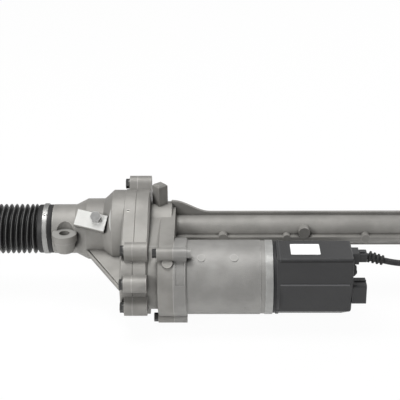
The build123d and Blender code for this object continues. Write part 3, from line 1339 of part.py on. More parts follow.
def input_shaft():
    """Shaft that the steering column clamps on, with a groove for the clamp bolt."""
    x, y = pinion_x, pinion_y
    shaft = post(x, y, input_bottom, input_top, INPUT_RADIUS)
    shaft = chamfer(shaft.edges().group_by(Axis.Z)[-1], INPUT_BREAK)
    shaft -= post(x, y, input_bottom - 1, input_top - INPUT_FLOOR, TORSION_RADIUS)
    low, high = (input_top - depth for depth in INPUT_GROOVE)
    groove = post(x, y, low, high, INPUT_RADIUS + 1)
    return shaft - (groove - post(x, y, low - 1, high + 1, INPUT_RADIUS - INPUT_GROOVE_DEPTH))


def magnet_ring():
    """Magnet ring of the torque sensor, on the input shaft."""
    x, y = pinion_x, pinion_y
    low, high = (input_bottom + rise for rise in MAGNET_RING)
    return post(x, y, low, high, INPUT_RADIUS + MAGNET_RING_WALL) - post(x, y, low - 1, high + 1, INPUT_RADIUS)


def pinion_bearings():
    """Needle bearing under the pinion and the outer ring of the ball bearing above it."""
    x, y = pinion_x, pinion_y
    needle = post(x, y, -bearing_floor - BEARING_HEIGHT, -bearing_floor, LOWER_BEARING_RADIUS)
    needle -= post(x, y, -bearing_floor - BEARING_HEIGHT - 1, 0, LOWER_JOURNAL + SEAT_GAP)
    upper = post(x, y, bearing_floor, bearing_floor + BEARING_HEIGHT, UPPER_BEARING_RADIUS)
    upper -= post(x, y, 0, bearing_floor + BEARING_HEIGHT + 1, INPUT_RADIUS + UPPER_OUTER_WALL)
    return together(needle, upper)


def pinion_bearing_inner():
    """Inner ring of the ball bearing on the pinion."""
    x, y = pinion_x, pinion_y
    race = post(x, y, bearing_floor, bearing_floor + BEARING_HEIGHT, INPUT_RADIUS + UPPER_INNER_WALL)
    return race - post(x, y, 0, bearing_floor + BEARING_HEIGHT + 1, INPUT_RADIUS)


def pinion_cap():
    """Threaded plug under the pinion, with a hexagon socket."""
    x, y = pinion_x, pinion_y
    plug = post(x, y, TOWER_FLOOR, -bearing_floor - BEARING_HEIGHT, LOWER_BEARING_RADIUS)
    low = TOWER_FLOOR - CAP_HEAD
    plug += post(x, y, low, TOWER_FLOOR, LOWER_BEARING_RADIUS + CAP_HEAD_STEP)
    hexagon_socket = extrude(RegularPolygon(CAP_HEX_RADIUS, 6), CAP_HEAD + CAP_HEX_DEPTH + 1)
    return plug - Pos(x, y, low - 1) * hexagon_socket


def sensor_housing():
    """Cover of the torque sensor on the tower, with the socket for its lead."""
    x, y = pinion_x, pinion_y
    cover = post(x, y, sensor_floor, sensor_top, SENSOR_RADIUS)
    cover = chamfer(cover.edges().group_by(Axis.Z)[-1], SENSOR_BREAK)
    for angle in SENSOR_SCREW_ANGLES:
        ear_x, ear_y = about((x, y), SENSOR_RADIUS + SENSOR_EAR_REACH, angle)
        cover += post(ear_x, ear_y, sensor_floor, sensor_floor + SENSOR_EAR_HEIGHT, SENSOR_EAR_RADIUS)
    socket_start = TORQUE_PLUG_NECK + TORQUE_PLUG_LENGTH
    cover += torque_plane * Pos(0, 0, socket_start + TORQUE_SOCKET[2] / 2) * Box(*TORQUE_SOCKET)
    cover -= post(x, y, sensor_floor - 1, sensor_top - CAST_WALL, SENSOR_RADIUS - SENSOR_WALL)
    cover -= post(x, y, sensor_floor, sensor_top + 1, INPUT_RADIUS + SEAL_WIDTH)
    for angle in SENSOR_SCREW_ANGLES:
        ear_x, ear_y = about((x, y), SENSOR_RADIUS + SENSOR_EAR_REACH, angle)
        cover -= post(ear_x, ear_y, sensor_floor - 1, sensor_floor + SENSOR_EAR_HEIGHT + 1,
                      SENSOR_SCREW_RADIUS + BOLT_HOLE_GAP)
    return cover


def sensor_screws():
    """Screws of the torque sensor's cover."""
    screws = Part()
    for angle in SENSOR_SCREW_ANGLES:
        ear_x, ear_y = about((pinion_x, pinion_y), SENSOR_RADIUS + SENSOR_EAR_REACH, angle)
        under_head = sensor_floor + SENSOR_EAR_HEIGHT
        screws += post(ear_x, ear_y, sensor_floor - SENSOR_SCREW_GRIP, under_head, SENSOR_SCREW_RADIUS)
        screws += post(ear_x, ear_y, under_head, under_head + SENSOR_HEAD_HEIGHT, SENSOR_HEAD_RADIUS)
    return screws


def dust_seal():
    """Rubber seal round the input shaft."""
    x, y = pinion_x, pinion_y
    top = sensor_top + SEAL_STAND
    seal = post(x, y, sensor_top - CAST_WALL, top, INPUT_RADIUS + SEAL_WIDTH)
    seal = chamfer(seal.edges().group_by(Axis.Z)[-1], SEAL_BREAK)
    return seal - post(x, y, sensor_top - CAST_WALL - 1, top + 1, INPUT_RADIUS + SEAL_GAP)


def across(y0, y1, radius):
    """A round bar along Y at the pinion's station."""
    return Pos(pinion_x, (y0 + y1) / 2, 0) * Rot(90, 0, 0) * Cylinder(radius, y1 - y0)


yoke_back = YOKE_FRONT + YOKE_LENGTH
plug_front = YOKE_BOSS_REACH - YOKE_PLUG_LENGTH
spring_floor = yoke_back - YOKE_RECESS


def yoke():
    """Slipper that presses the bar against the pinion, hollowed to the bar's round."""
    reach = YOKE_RADIUS + 1
    slipper = across(YOKE_FRONT, yoke_back, YOKE_RADIUS)
    slipper -= rod(pinion_x - reach, pinion_x + reach, RACK_RADIUS + YOKE_GAP)
    return slipper - across(spring_floor, yoke_back + 1, YOKE_RADIUS - YOKE_RECESS_WALL)


def yoke_springs():
    """Disc springs between the yoke and its plug."""
    rise = (plug_front - spring_floor) / 2
    edge = YOKE_RADIUS - SPRING_WALL
    cone = [(SPRING_BORE, 0), (edge, rise - SPRING_THICKNESS), (edge, rise), (SPRING_BORE, SPRING_THICKNESS)]
    disc = revolve(make_face(Polyline(*cone, close=True)), Axis.Y)
    first = Pos(pinion_x, spring_floor, 0) * disc
    second = Pos(pinion_x, plug_front, 0) * Rot(180, 0, 0) * disc
    return together(first, second)


def yoke_plug():
    """Threaded plug behind the yoke, with a hexagon socket."""
    plug_back = YOKE_BOSS_REACH + YOKE_PLUG_STAND
    plug = across(plug_front, plug_back, YOKE_RADIUS + YOKE_GAP)
    socket = Plane(origin=(pinion_x, plug_back + 1, 0), z_dir=(0, -1, 0))
    return plug - socket * extrude(RegularPolygon(YOKE_HEX_RADIUS, 6), YOKE_HEX_DEPTH + 1)


def rack_bush():
    """Plain bush that guides the bar on the right."""
    return ring(bush_start, bush_start + BUSH_LENGTH, bar_bore + BUSH_WALL, RACK_RADIUS + YOKE_GAP)


def rack_stops():
    """Rings that the joints meet at the ends of the travel."""
    return together(ring(left_stop, left_wall, NECK_BORE, bar_bore),
                    ring(right_wall, right_stop, NECK_BORE, bar_bore))


middle_plane = Plane.YZ.offset((left_mouth + right_mouth) / 2)
rod_end = left_ball - ROD_LENGTH
cuff_start = left_mouth - BOOT_LENGTH


def joint_socket():
    """Housing of the left inner ball joint: a threaded stud for the bar, flats, and a round cavity."""
    face = bar_left - SOCKET_LENGTH
    socket = rod(face, bar_left, SOCKET_RADIUS)
    socket = chamfer(socket.edges().group_by(Axis.X)[0], SOCKET_BREAK)
    socket += rod(bar_left, bar_left + STUD_LENGTH - STUD_END_GAP, STUD_RADIUS)
    flat_start, flat_end = (bar_left - station for station in SOCKET_FLATS)
    flat = block(flat_start, flat_end, -SOCKET_RADIUS, SOCKET_RADIUS, SOCKET_RADIUS - SOCKET_FLAT_DEPTH,
                 SOCKET_RADIUS + 1)
    socket -= flat + mirror(flat, Plane.XY)
    socket -= Pos(left_ball, 0, 0) * Sphere(BALL_RADIUS + SEAT_THICKNESS + 2 * SEAT_GAP)
    throat = left_ball - MOUTH_THROAT
    flare = turned([(face - 1, 0), (face - 1, MOUTH_RADIUS + MOUTH_FLARE),
                    (face + MOUTH_FLARE_DEPTH, MOUTH_RADIUS), (throat, MOUTH_THROAT_RADIUS), (throat, 0)])
    return socket - flare


def ball_seat():
    """Plastic seat between the ball and its socket."""
    shell = Sphere(BALL_RADIUS + SEAT_THICKNESS + SEAT_GAP) - Sphere(BALL_RADIUS + SEAT_GAP)
    reach = BALL_RADIUS + SEAT_THICKNESS + 1
    mouth = block(left_ball - reach, left_ball - SEAT_MOUTH, -reach, reach, -reach, reach)
    return Pos(left_ball, 0, 0) * shell - mouth


def tie_rod():
    """Left tie rod: ball, slim neck, shank, flats for a wrench and a threaded end."""
    neck_end = left_ball - NECK_OF_ROD_LENGTH
    thread_start = rod_end + ROD_THREAD
    shank = turned([(left_ball - ROD_ROOT, 0), (left_ball - ROD_ROOT, NECK_OF_ROD), (neck_end, NECK_OF_ROD),
                    (neck_end - ROD_SHOULDER, ROD_BODY_RADIUS), (thread_start + ROD_RUN_OUT, ROD_BODY_RADIUS),
                    (thread_start, ROD_RADIUS), (rod_end + ROD_BREAK, ROD_RADIUS),
                    (rod_end, ROD_RADIUS - ROD_BREAK), (rod_end, 0)])
    shank += Pos(left_ball, 0, 0) * Sphere(BALL_RADIUS)
    flat_start, flat_end = (thread_start + station for station in ROD_FLATS)
    reach = ROD_BODY_RADIUS + 1
    flat = block(flat_start, flat_end, -reach, reach, ROD_FLAT_HALF, reach)
    return shank - flat - mirror(flat, Plane.XY)


def boot():
    """Left rubber boot: cuff on the casting, even folds, a taper of smaller folds, and a small cuff."""
    cuff_end = -NECK_LEFT - BOOT_SHOULDER_GAP
    cuff_radius = NECK_RADIUS - BOOT_CUFF_SINK
    rise, crest, fall = BOOT_FOLD_SHARES
    outline = [(cuff_end, BOOT_SEAT_RADIUS + SEAT_GAP), (cuff_end, cuff_radius), (left_mouth, cuff_radius)]
    folds = int((BOOT_LENGTH - CUFF_LENGTH) / BOOT_PITCH)
    pitch = (BOOT_LENGTH - CUFF_LENGTH) / folds
    small = ROD_BODY_RADIUS + CUFF_GAP
    for number in range(folds):
        x = left_mouth - number * pitch
        narrow = max(0.0, (number - BOOT_STRAIGHT_SHARE * folds) / ((1 - BOOT_STRAIGHT_SHARE) * folds))
        peak = BOOT_PEAK + (BOOT_TAPER_PEAK - BOOT_PEAK) * narrow
        outline += [(x - pitch * rise, peak - BOOT_FOLD), (x - pitch * crest, peak), (x - pitch * fall, peak)]
    cuff_end_small = cuff_start + CUFF_LENGTH
    outline += [(cuff_end_small, small + BOOT_WALL), (cuff_start, small + BOOT_WALL), (cuff_start, small)]
    straight_end = left_mouth - BOOT_STRAIGHT_SHARE * folds * pitch
    wall = BOOT_PEAK - BOOT_FOLD - BOOT_WALL
    outline += [(cuff_end_small, small), (straight_end, wall), (left_mouth, wall),
                (left_mouth, BOOT_SEAT_RADIUS + SEAT_GAP)]
    return turned(outline)


def boot_clamps():
    """Steel bands that hold the boots on the castings, each with a closed ear."""
    inner = NECK_RADIUS - BOOT_CUFF_SINK
    middle = left_mouth + CLAMP_STATION
    start = middle - CLAMP_WIDTH / 2
    end = middle + CLAMP_WIDTH / 2
    band = ring(start, end, inner + CLAMP_THICKNESS, inner)
    ear = Pos(middle, 0, 0) * Rot(CLAMP_EAR_ANGLE, 0, 0)
    lap = ring(start, end, inner + 2 * CLAMP_THICKNESS, inner)
    lap &= ear * Pos(0, -inner, 0) * Box(2 * CLAMP_WIDTH, CLAMP_LAP_DEPTH, CLAMP_LAP)
    rivet = Rot(90, 0, 0) * Cylinder(CLAMP_RIVET_RADIUS, CLAMP_RIVET_HEIGHT)
    rivet = ear * Pos(0, -inner - 2 * CLAMP_THICKNESS, 0) * rivet
    left = band + lap + rivet
    return together(left, mirror(left, middle_plane))


def cuff_clip():
    """Spring clip that holds the left boot's small cuff on the tie rod."""
    inner = ROD_BODY_RADIUS + BOOT_WALL + 2 * CUFF_GAP
    start = cuff_start + CLIP_INSET
    end = start + CLIP_WIDTH
    top = inner + CLIP_LUG_HEIGHT
    slit = CLIP_LUG_SPREAD - CLIP_LUG_THICKNESS / 2
    clip = ring(start, end, inner + CLIP_THICKNESS, inner)
    clip += block(start, end, -slit - CLIP_LUG_THICKNESS, slit + CLIP_LUG_THICKNESS, inner, top)
    clip -= block(start - 1, end + 1, -slit, slit, 0, top + 1)
    stop_start, stop_end = (cuff_start - station for station in CUFF_STOP)
    return clip + ring(stop_start, stop_end, ROD_BODY_RADIUS + CUFF_STOP_WALL, ROD_BODY_RADIUS)


def mirrored(piece):
    """The right-hand piece that matches a left-hand one."""
    return mirror(piece, middle_plane)


pieces = {
    "ball_nut_housing": ball_nut_housing,
    "rack_housing": rack_housing,
    "housing_bolts": housing_bolts,
    "pad_screw": pad_screw,
    "motor_housing": motor_housing,
    "motor_end_cover": motor_end_cover,
    "motor_bolts": motor_bolts,
    "stator_core": stator_core,
    "stator_windings": stator_windings,
    "motor_bearing_outers": motor_bearing_outers,
    "nut_bearing_outer": nut_bearing_outer,
    "nut_bearing_balls": nut_bearing_balls,
    "bearing_lock_ring": bearing_lock_ring,
    "drive_belt": drive_belt,
    "rack_stops": rack_stops,
    "rack_bush": rack_bush,
    "yoke": yoke,
    "yoke_springs": yoke_springs,
    "yoke_plug": yoke_plug,
    "pinion_bearings": pinion_bearings,
    "pinion_cap": pinion_cap,
    "sensor_housing": sensor_housing,
    "sensor_screws": sensor_screws,
    "dust_seal": dust_seal,
    "unit_housing": unit_housing,
    "unit_lid": unit_lid,
    "circuit_board": circuit_board,
    "power_socket": power_socket,
    "sensor_socket": sensor_socket,
    "sensor_plug": sensor_plug,
    "grommet": grommet,
    "sensor_lead": sensor_lead,
    "torque_plug": torque_plug,
    "left_boot": boot,
    "right_boot": lambda: mirrored(boot()),
    "boot_clamps": boot_clamps,
    "rack_bar": rack_bar,
    "left_joint_socket": joint_socket,
    "right_joint_socket": lambda: mirrored(joint_socket()),
    "ball_nut": ball_nut,
    "ball_return": ball_return,
    "screw_balls": screw_balls,
    "nut_bearing_inner": nut_bearing_inner,
    "driven_pulley": driven_pulley,
    "motor_shaft": motor_shaft,
    "rotor_core": rotor_core,
    "rotor_magnets": rotor_magnet_bars,
    "motor_bearing_inners": motor_bearing_inners,
    "drive_pulley": drive_pulley,
    "pinion_shaft": pinion_shaft,
    "pinion_bearing_inner": pinion_bearing_inner,
    "input_shaft": input_shaft,
    "torsion_bar": torsion_bar,
    "magnet_ring": magnet_ring,
    "left_ball_seat": ball_seat,
    "right_ball_seat": lambda: mirrored(ball_seat()),
    "left_tie_rod": tie_rod,
    "right_tie_rod": lambda: mirrored(tie_rod()),
    "left_cuff_clip": cuff_clip,
    "right_cuff_clip": lambda: mirrored(cuff_clip()),
}

os.makedirs("parts", exist_ok=True)
for name, make in pieces.items():
    export_step(Pos(0, EYE_REACH, 0) * make(), "parts/" + name + ".step")
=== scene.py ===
import math

import bmesh
import bpy
from mathutils import Matrix, Vector


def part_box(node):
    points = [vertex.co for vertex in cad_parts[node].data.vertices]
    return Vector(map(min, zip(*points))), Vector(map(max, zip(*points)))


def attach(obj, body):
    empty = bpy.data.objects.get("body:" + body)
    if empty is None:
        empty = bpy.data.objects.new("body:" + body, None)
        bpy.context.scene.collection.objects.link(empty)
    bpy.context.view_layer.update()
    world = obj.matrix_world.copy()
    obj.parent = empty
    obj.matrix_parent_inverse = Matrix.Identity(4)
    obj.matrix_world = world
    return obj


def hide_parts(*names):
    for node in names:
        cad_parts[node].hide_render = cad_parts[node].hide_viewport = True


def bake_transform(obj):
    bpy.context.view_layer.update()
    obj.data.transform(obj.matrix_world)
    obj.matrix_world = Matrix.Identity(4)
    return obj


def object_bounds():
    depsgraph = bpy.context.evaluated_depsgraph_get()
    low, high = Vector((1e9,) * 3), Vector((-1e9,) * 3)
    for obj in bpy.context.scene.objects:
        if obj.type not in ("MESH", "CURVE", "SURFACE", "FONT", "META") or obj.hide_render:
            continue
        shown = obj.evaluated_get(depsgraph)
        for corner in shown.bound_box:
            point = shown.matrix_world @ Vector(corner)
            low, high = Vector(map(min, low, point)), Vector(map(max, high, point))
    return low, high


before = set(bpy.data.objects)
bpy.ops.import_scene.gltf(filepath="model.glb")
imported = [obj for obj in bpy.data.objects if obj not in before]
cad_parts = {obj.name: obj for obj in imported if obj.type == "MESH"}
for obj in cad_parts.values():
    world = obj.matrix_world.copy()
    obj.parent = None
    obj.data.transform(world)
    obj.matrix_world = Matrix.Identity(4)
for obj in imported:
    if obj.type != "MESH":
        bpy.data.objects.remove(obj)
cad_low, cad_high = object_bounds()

MM = 0.001


# Camera
# It stands where the photograph was taken from: in front of the gear, about 24 degrees above
# it, with a long lens. The target is a point a little in front of the bar, in millimetres.
camera_azimuth, camera_elevation, camera_roll = 1.06, 23.7, -0.536
camera_distance, lens_pixels = 1300.0, 1101.1
sensor_width, picture_pixels = 36, 400
camera_target = Vector((160, 0, -5))
camera_shift = (-0.324, 52.456)

azimuth, elevation = math.radians(camera_azimuth), math.radians(camera_elevation)
roll = math.radians(camera_roll)
back = Vector((math.sin(azimuth) * math.cos(elevation), -math.cos(azimuth) * math.cos(elevation),
               math.sin(elevation)))
level = Vector((math.cos(azimuth), math.sin(azimuth), 0))
rise = back.cross(level)
right = level * math.cos(roll) + rise * math.sin(roll)
up = rise * math.cos(roll) - level * math.sin(roll)
camera = bpy.data.objects.new("camera", bpy.data.cameras.new("camera"))
bpy.context.scene.collection.objects.link(camera)
camera.data.sensor_width = sensor_width
camera.data.lens = sensor_width * lens_pixels / picture_pixels
camera.data.clip_start, camera.data.clip_end = 0.05, 30
heading = Matrix((right, up, back)).transposed().to_4x4()
place = camera_target + back * camera_distance + right * camera_shift[0] + up * camera_shift[1]
camera.matrix_world = Matrix.Translation(place * MM) @ heading
bpy.context.scene.camera = camera
bpy.context.scene.view_settings.view_transform = "Standard"


# Lead to the torque sensor
# A sheathed lead runs from the control unit's end to the sensor on the pinion tower. Its
# sheath is woven, and a plug holds it at each end.
class Socket:
    """A shader value that takes part in plain sums."""

    def __init__(self, finish, socket):
        self.finish, self.socket = finish, socket

    def maths(self, operation, *values):
        return self.finish.node("ShaderNodeMath", {"operation": operation}, dict(enumerate(values)))

    def __add__(self, other):
        return self.maths("ADD", self, other)

    def __sub__(self, other):
        return self.maths("SUBTRACT", self, other)

    def __mul__(self, other):
        return self.maths("MULTIPLY", self, other)

    def __rsub__(self, other):
        return self.maths("SUBTRACT", other, self)

    __radd__ = __add__

    def wave(self, pitch):
        """A sine that repeats every pitch metres, from 0 to 1."""
        return self.maths("SINE", self * (2 * math.pi / pitch)) * 0.5 + 0.5

    def above(self, low, high):
        """0 below low, 1 above high, smooth between them."""
        return self.finish.node("ShaderNodeMapRange", {"interpolation_type": "SMOOTHSTEP"},
                                {"Value": self, "From Min": low, "From Max": high})

    def past(self, limit, soft=0.0001):
        """0 before a limit and 1 past it, with a soft edge that reaches that far each way."""
        return self.above(limit - soft, limit + soft)

    def between(self, low, high, soft=0.0001):
        """1 between two limits and 0 outside them."""
        return self.past(low, soft) * (1 - self.past(high, soft))


class Finish:
    """One procedural material on the principled shader."""

    def __init__(self, name, **sockets):
        self.material = bpy.data.materials.new(name)
        self.material.use_nodes = True
        self.nodes = self.material.node_tree.nodes
        self.links = self.material.node_tree.links
        self.shader = self.nodes["Principled BSDF"]
        self.place = self.node("ShaderNodeTexCoord", {}, {}, "Object")
        axes = self.node("ShaderNodeSeparateXYZ", {}, {0: self.place})
        self.x, self.y, self.z = (Socket(self, axes.socket.node.outputs[i]) for i in range(3))
        self.set(**sockets)

    def set(self, **sockets):
        for name, value in sockets.items():
            self.feed(self.shader.inputs[name.replace("_", " ")], value)

    def feed(self, socket, value):
        if isinstance(value, Socket):
            self.links.new(value.socket, socket)
        else:
            socket.default_value = (*value, 1.0) if socket.type == "RGBA" else value

    def node(self, kind, settings, values, output=0):
        made = self.nodes.new(kind)
        for name, value in settings.items():
            setattr(made, name, value)
        for name, value in values.items():
            self.feed(made.inputs[name], value)
        return Socket(self, made.outputs[output])

    def noise(self, scale, detail=3.0, stretch=(1.0, 1.0, 1.0)):
        """Noise with that many features per metre, squeezed along an axis where stretch is over 1."""
        at = self.node("ShaderNodeVectorMath", {"operation": "MULTIPLY"}, {0: self.place, 1: stretch})
        return self.node("ShaderNodeTexNoise", {}, {"Vector": at, "Scale": scale, "Detail": detail})

    def mix(self, first, second, share):
        """Two colours, and how much of the second there is."""
        return self.node("ShaderNodeMix", {"data_type": "RGBA"}, {0: share, 6: first, 7: second}, 2)

    def bump(self, height, depth):
        """A bump that many metres deep."""
        return self.node("ShaderNodeBump", {}, {"Height": height, "Distance": depth})

    def worn(self, radius):
        """1 on edges that the bevel rounds over that radius, and 0 on flats."""
        soft = self.node("ShaderNodeBevel", {"samples": 6}, {"Radius": radius})
        hard = self.node("ShaderNodeNewGeometry", {}, {}, "Normal")
        kept = self.node("ShaderNodeVectorMath", {"operation": "DOT_PRODUCT"}, {0: soft, 1: hard}, 1)
        return (1 - kept).above(0.01, 0.2)


def dress(finish, *things):
    """Gives one finish to CAD nodes, by name, or to pieces."""
    for thing in things:
        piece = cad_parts[thing] if isinstance(thing, str) else thing
        piece.data.materials.clear()
        piece.data.materials.append(finish.material)


lead_points = [(362, -58, 4.5), (387, -61, -1.5), (416, -62, 6), (440, -53, 30), (457.5, -32.6, 51),
               (474.3, -12.6, 51)]
lead_diameter, lead_length = 7.0, 148.6
line = bpy.data.curves.new("lead", "CURVE")
line.dimensions = "3D"
line.bevel_depth = lead_diameter / 2 * MM
line.bevel_resolution = 6
line.resolution_u = 24
line.use_fill_caps = True
spline = line.splines.new("NURBS")
spline.points.add(len(lead_points) - 1)
for point, at in zip(spline.points, lead_points):
    point.co = (*(Vector(at) * MM), 1)
spline.order_u = 3
spline.use_endpoint_u = True
lead = bpy.data.objects.new("lead", line)
bpy.context.scene.collection.objects.link(lead)

weave_pitch = 0.0022
woven = Finish("woven_sleeve", Roughness=0.62)
strands = (woven.x + woven.z + woven.y).wave(weave_pitch) * (woven.x + woven.z - woven.y).wave(weave_pitch)
woven.set(Base_Color=woven.mix((0.012, 0.012, 0.013), (0.05, 0.05, 0.05), strands.above(0.2, 0.8)),
          Normal=woven.bump(strands, 0.0004))
dress(woven, lead)
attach(lead, "root")
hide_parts("sensor_lead")


# Floor, backdrop and lights
# The photograph has a white ground and even light from soft boxes. Here a pale floor lies
# under the gear, and the world is white where the camera sees it and dimmer elsewhere.
middle = 285.0
floor_size, floor_gap = 6, 0.002
floor_mesh = bmesh.new()
bmesh.ops.create_grid(floor_mesh, x_segments=2, y_segments=2, size=floor_size)
sheet = bpy.data.meshes.new("floor")
floor_mesh.to_mesh(sheet)
floor_mesh.free()
floor = bpy.data.objects.new("floor", sheet)
floor.location = (middle * MM, 0, cad_low.z - floor_gap)
bpy.context.scene.collection.objects.link(floor)

white_share = 0.96
ground = Finish("pale_floor", Base_Color=(0.9, 0.9, 0.9), Roughness=0.9)
white = ground.node("ShaderNodeEmission", {}, {"Color": (1.0, 1.0, 1.0), "Strength": 1.0})
seen = ground.node("ShaderNodeLightPath", {}, {}, "Is Camera Ray")
mirrored = ground.node("ShaderNodeLightPath", {}, {}, "Is Glossy Ray")
through = ground.node("ShaderNodeLightPath", {}, {}, "Is Transmission Ray")
glowing = (seen + mirrored + through).above(0, 1) * white_share
surface = ground.node("ShaderNodeMixShader", {},
                      {0: glowing, 1: Socket(ground, ground.shader.outputs[0]), 2: white})
ground.links.new(surface.socket, ground.nodes["Material Output"].inputs[0])
dress(ground, floor)

dim_sky, full_sky = 0.36, 1.0
world = bpy.data.worlds.new("studio")
bpy.context.scene.world = world
world.use_nodes = True
air = world.node_tree.nodes
sky = air["Background"]
ways = air.new("ShaderNodeLightPath")
in_view = air.new("ShaderNodeMath")
in_view.operation = "MAXIMUM"
world.node_tree.links.new(ways.outputs["Is Camera Ray"], in_view.inputs[0])
world.node_tree.links.new(ways.outputs["Is Transmission Ray"], in_view.inputs[1])
glow = air.new("ShaderNodeMix")
glow.inputs[2].default_value, glow.inputs[3].default_value = dim_sky, full_sky
world.node_tree.links.new(in_view.outputs[0], glow.inputs[0])
world.node_tree.links.new(glow.outputs[0], sky.inputs["Strength"])
sky.inputs["Color"].default_value = (1, 1, 1, 1)

lamps_aim = Vector((0.25, 0, 0))


def soft_box(name, place, size, watts):
    """A square lamp that faces the gear's middle."""
    lamp = bpy.data.objects.new(name, bpy.data.lights.new(name, "AREA"))
    lamp.data.size, lamp.data.energy = size, watts
    lamp.location = place
    lamp.rotation_mode = "QUATERNION"
    lamp.rotation_quaternion = (lamps_aim - Vector(place)).to_track_quat("-Z", "Y")
    bpy.context.scene.collection.objects.link(lamp)


soft_box("top_light", place=(-0.2, -0.1, 1.6), size=0.7, watts=22)
soft_box("front_light", place=(-1.2, -1.4, 0.9), size=0.6, watts=19)
soft_box("rear_light", place=(1.2, 1.4, 1.0), size=1.0, watts=8)


# Castings
# The two housings and the motor's are die-cast aluminium, shot-blasted to a warm matt grey.
# The sloped pad and the tops of the eyes are machined bright, and the motor's rear is turned. Painted shade
# darkens the castings' corners and crevices.
dull_share, worn_share, painted_crevice_shade = 0.80, 1.6, 0.22
cast_edge, painted_shade_reach = 0.0012, 0.007


def cast_aluminium(name, tone):
    """Blasted casting of that tone: its finish, fine pits, colour, worn edges and painted shade in its
    crevices.
    """
    metal = Finish(name, Metallic=0.4)
    speckle = metal.noise(900, 4)
    mottle = metal.noise(28, 5)
    wear = metal.worn(cast_edge)
    # Ambient occlusion darkens the colour in corners and crevices: painted shade.
    open_sky = metal.node("ShaderNodeAmbientOcclusion", {"samples": 8}, {"Distance": painted_shade_reach}, 1)
    dull = metal.mix(tuple(c * dull_share for c in tone), tone, mottle.above(0.35, 0.65))
    dull = metal.mix(dull, tuple(min(1, c * worn_share) for c in tone), wear * 0.8)
    dull = metal.mix(tuple(c * painted_crevice_shade for c in tone), dull, open_sky.above(0.25, 0.85))
    return metal, speckle, dull, wear


bar_y = 34.0
grey, bright = (0.285, 0.277, 0.26), (0.62, 0.62, 0.6)
pad_slope, pad_height, pad_start, pad_end = math.radians(38), 0.0438, 0.0085, 0.0555
eye_top, eye_skin, eye_back, eye_brightness = 0.01, 0.00015, 0.0165, 0.35
body, speckle, dull, wear = cast_aluminium("cast_housing", grey)
off_pad = (body.y - bar_y * MM) * -math.cos(pad_slope) + body.z * math.sin(pad_slope)
over_pad = off_pad.past(pad_height) * body.x.between(pad_start, pad_end, 0.0005)
normal = body.node("ShaderNodeNewGeometry", {}, {}, "Normal")
facing_up = body.node("ShaderNodeSeparateXYZ", {}, {0: normal}, 2).above(0.9, 0.95)
on_eye = (body.z.between(eye_top - eye_skin, eye_top + eye_skin, 0.00005) * facing_up
          * (1 - body.y.past(eye_back, 0.0005)))
machined = (over_pad + on_eye * eye_brightness).above(0, 1)
tool_marks = (body.x * 0.8 + body.z * 0.6).wave(0.0007)
body.set(Base_Color=body.mix(dull, bright, machined),
         Roughness=0.52 - machined * 0.2 - wear * 0.12 + speckle * 0.08,
         Normal=body.bump(speckle * (1 - machined) + tool_marks * machined * 0.15, 0.0003))
dress(body, "ball_nut_housing", "rack_housing")

case, speckle, dull, wear = cast_aluminium("cast_motor", (0.3, 0.295, 0.283))
case.set(Base_Color=dull, Roughness=0.48 + speckle * 0.1, Normal=case.bump(speckle, 0.00025))
dress(case, "motor_housing")

# Past this station the cover's rim is painted near-black and not metallic: painted shade of the gap at the
# control unit's edge.
painted_shade_start = 0.243
ring, speckle, dull, wear = cast_aluminium("turned_end_ring", (0.36, 0.36, 0.35))
painted_rim_shade = ring.x.past(painted_shade_start)
ring.set(Base_Color=ring.mix(dull, (0.015, 0.015, 0.016), painted_rim_shade), Metallic=0.4 - painted_rim_shade * 0.4,
         Roughness=0.38 + speckle * 0.08 + painted_rim_shade * 0.15, Normal=ring.bump(ring.x.wave(0.0008), 0.00008))
dress(ring, "motor_end_cover")


# Bolts, screws and plugs
# The hexagon bolts of the belt housing and the motor are blackened steel, and the pad's screw
# is bright zinc. The sensor's screws and the threaded plugs have a dull zinc-flake coat.
def coated_steel(name, metallic, tones, rubbed, edge, grain_scale, roughness, depth):
    """Coated steel: two tones in its grain, and a third where its corners are rubbed."""
    steel = Finish(name, Metallic=metallic)
    grain = steel.noise(grain_scale, 3)
    smooth, spread = roughness
    steel.set(Base_Color=steel.mix(steel.mix(*tones, grain), rubbed, steel.worn(edge)),
              Roughness=smooth + grain * spread, Normal=steel.bump(grain, depth))
    return steel


flake = coated_steel("zinc_flake_steel", 0.85, tones=((0.30, 0.30, 0.29), (0.40, 0.40, 0.385)),
                     rubbed=(0.72, 0.72, 0.7), edge=0.0007, grain_scale=420, roughness=(0.42, 0.12),
                     depth=0.00012)
dress(flake, "sensor_screws", "pinion_cap", "yoke_plug")
blackened = coated_steel("oil_blackened_steel", 0.8, tones=((0.05, 0.05, 0.05), (0.09, 0.09, 0.088)),
                         rubbed=(0.3, 0.3, 0.29), edge=0.0006, grain_scale=420, roughness=(0.38, 0.14),
                         depth=0.00012)
dress(blackened, "housing_bolts", "motor_bolts")
zinc = coated_steel("bright_zinc_steel", 0.9, tones=((0.36, 0.36, 0.355), (0.46, 0.46, 0.45)),
                    rubbed=(0.9, 0.9, 0.88), edge=0.0009, grain_scale=300, roughness=(0.27, 0.12),
                    depth=0.0001)
dress(zinc, "pad_screw")


# Bar, joints, tie rods and bearings
# Ground and turned steel: the bar with its teeth, the inner joints, the shafts, and the rings
# and balls of the bearings. The tie rods are forged and phosphated.
steel = Finish("ground_steel", Metallic=1.0)
lines = steel.noise(60, 4, (12.0, 1.0, 1.0))
steel.set(Base_Color=steel.mix((0.42, 0.42, 0.42), (0.6, 0.6, 0.6), lines), Roughness=0.26 + lines * 0.14,
          Normal=steel.bump(steel.noise(1400, 2), 0.00005))
dress(steel, "rack_bar", "left_joint_socket", "right_joint_socket", "ball_nut", "nut_bearing_outer",
      "nut_bearing_inner", "nut_bearing_balls", "screw_balls", "bearing_lock_ring", "motor_shaft",
      "motor_bearing_outers", "motor_bearing_inners", "pinion_shaft", "pinion_bearings",
      "pinion_bearing_inner", "input_shaft", "torsion_bar", "yoke_springs", "drive_pulley", "driven_pulley")
forged = Finish("phosphated_steel", Metallic=0.75)
scale = forged.noise(260, 4)
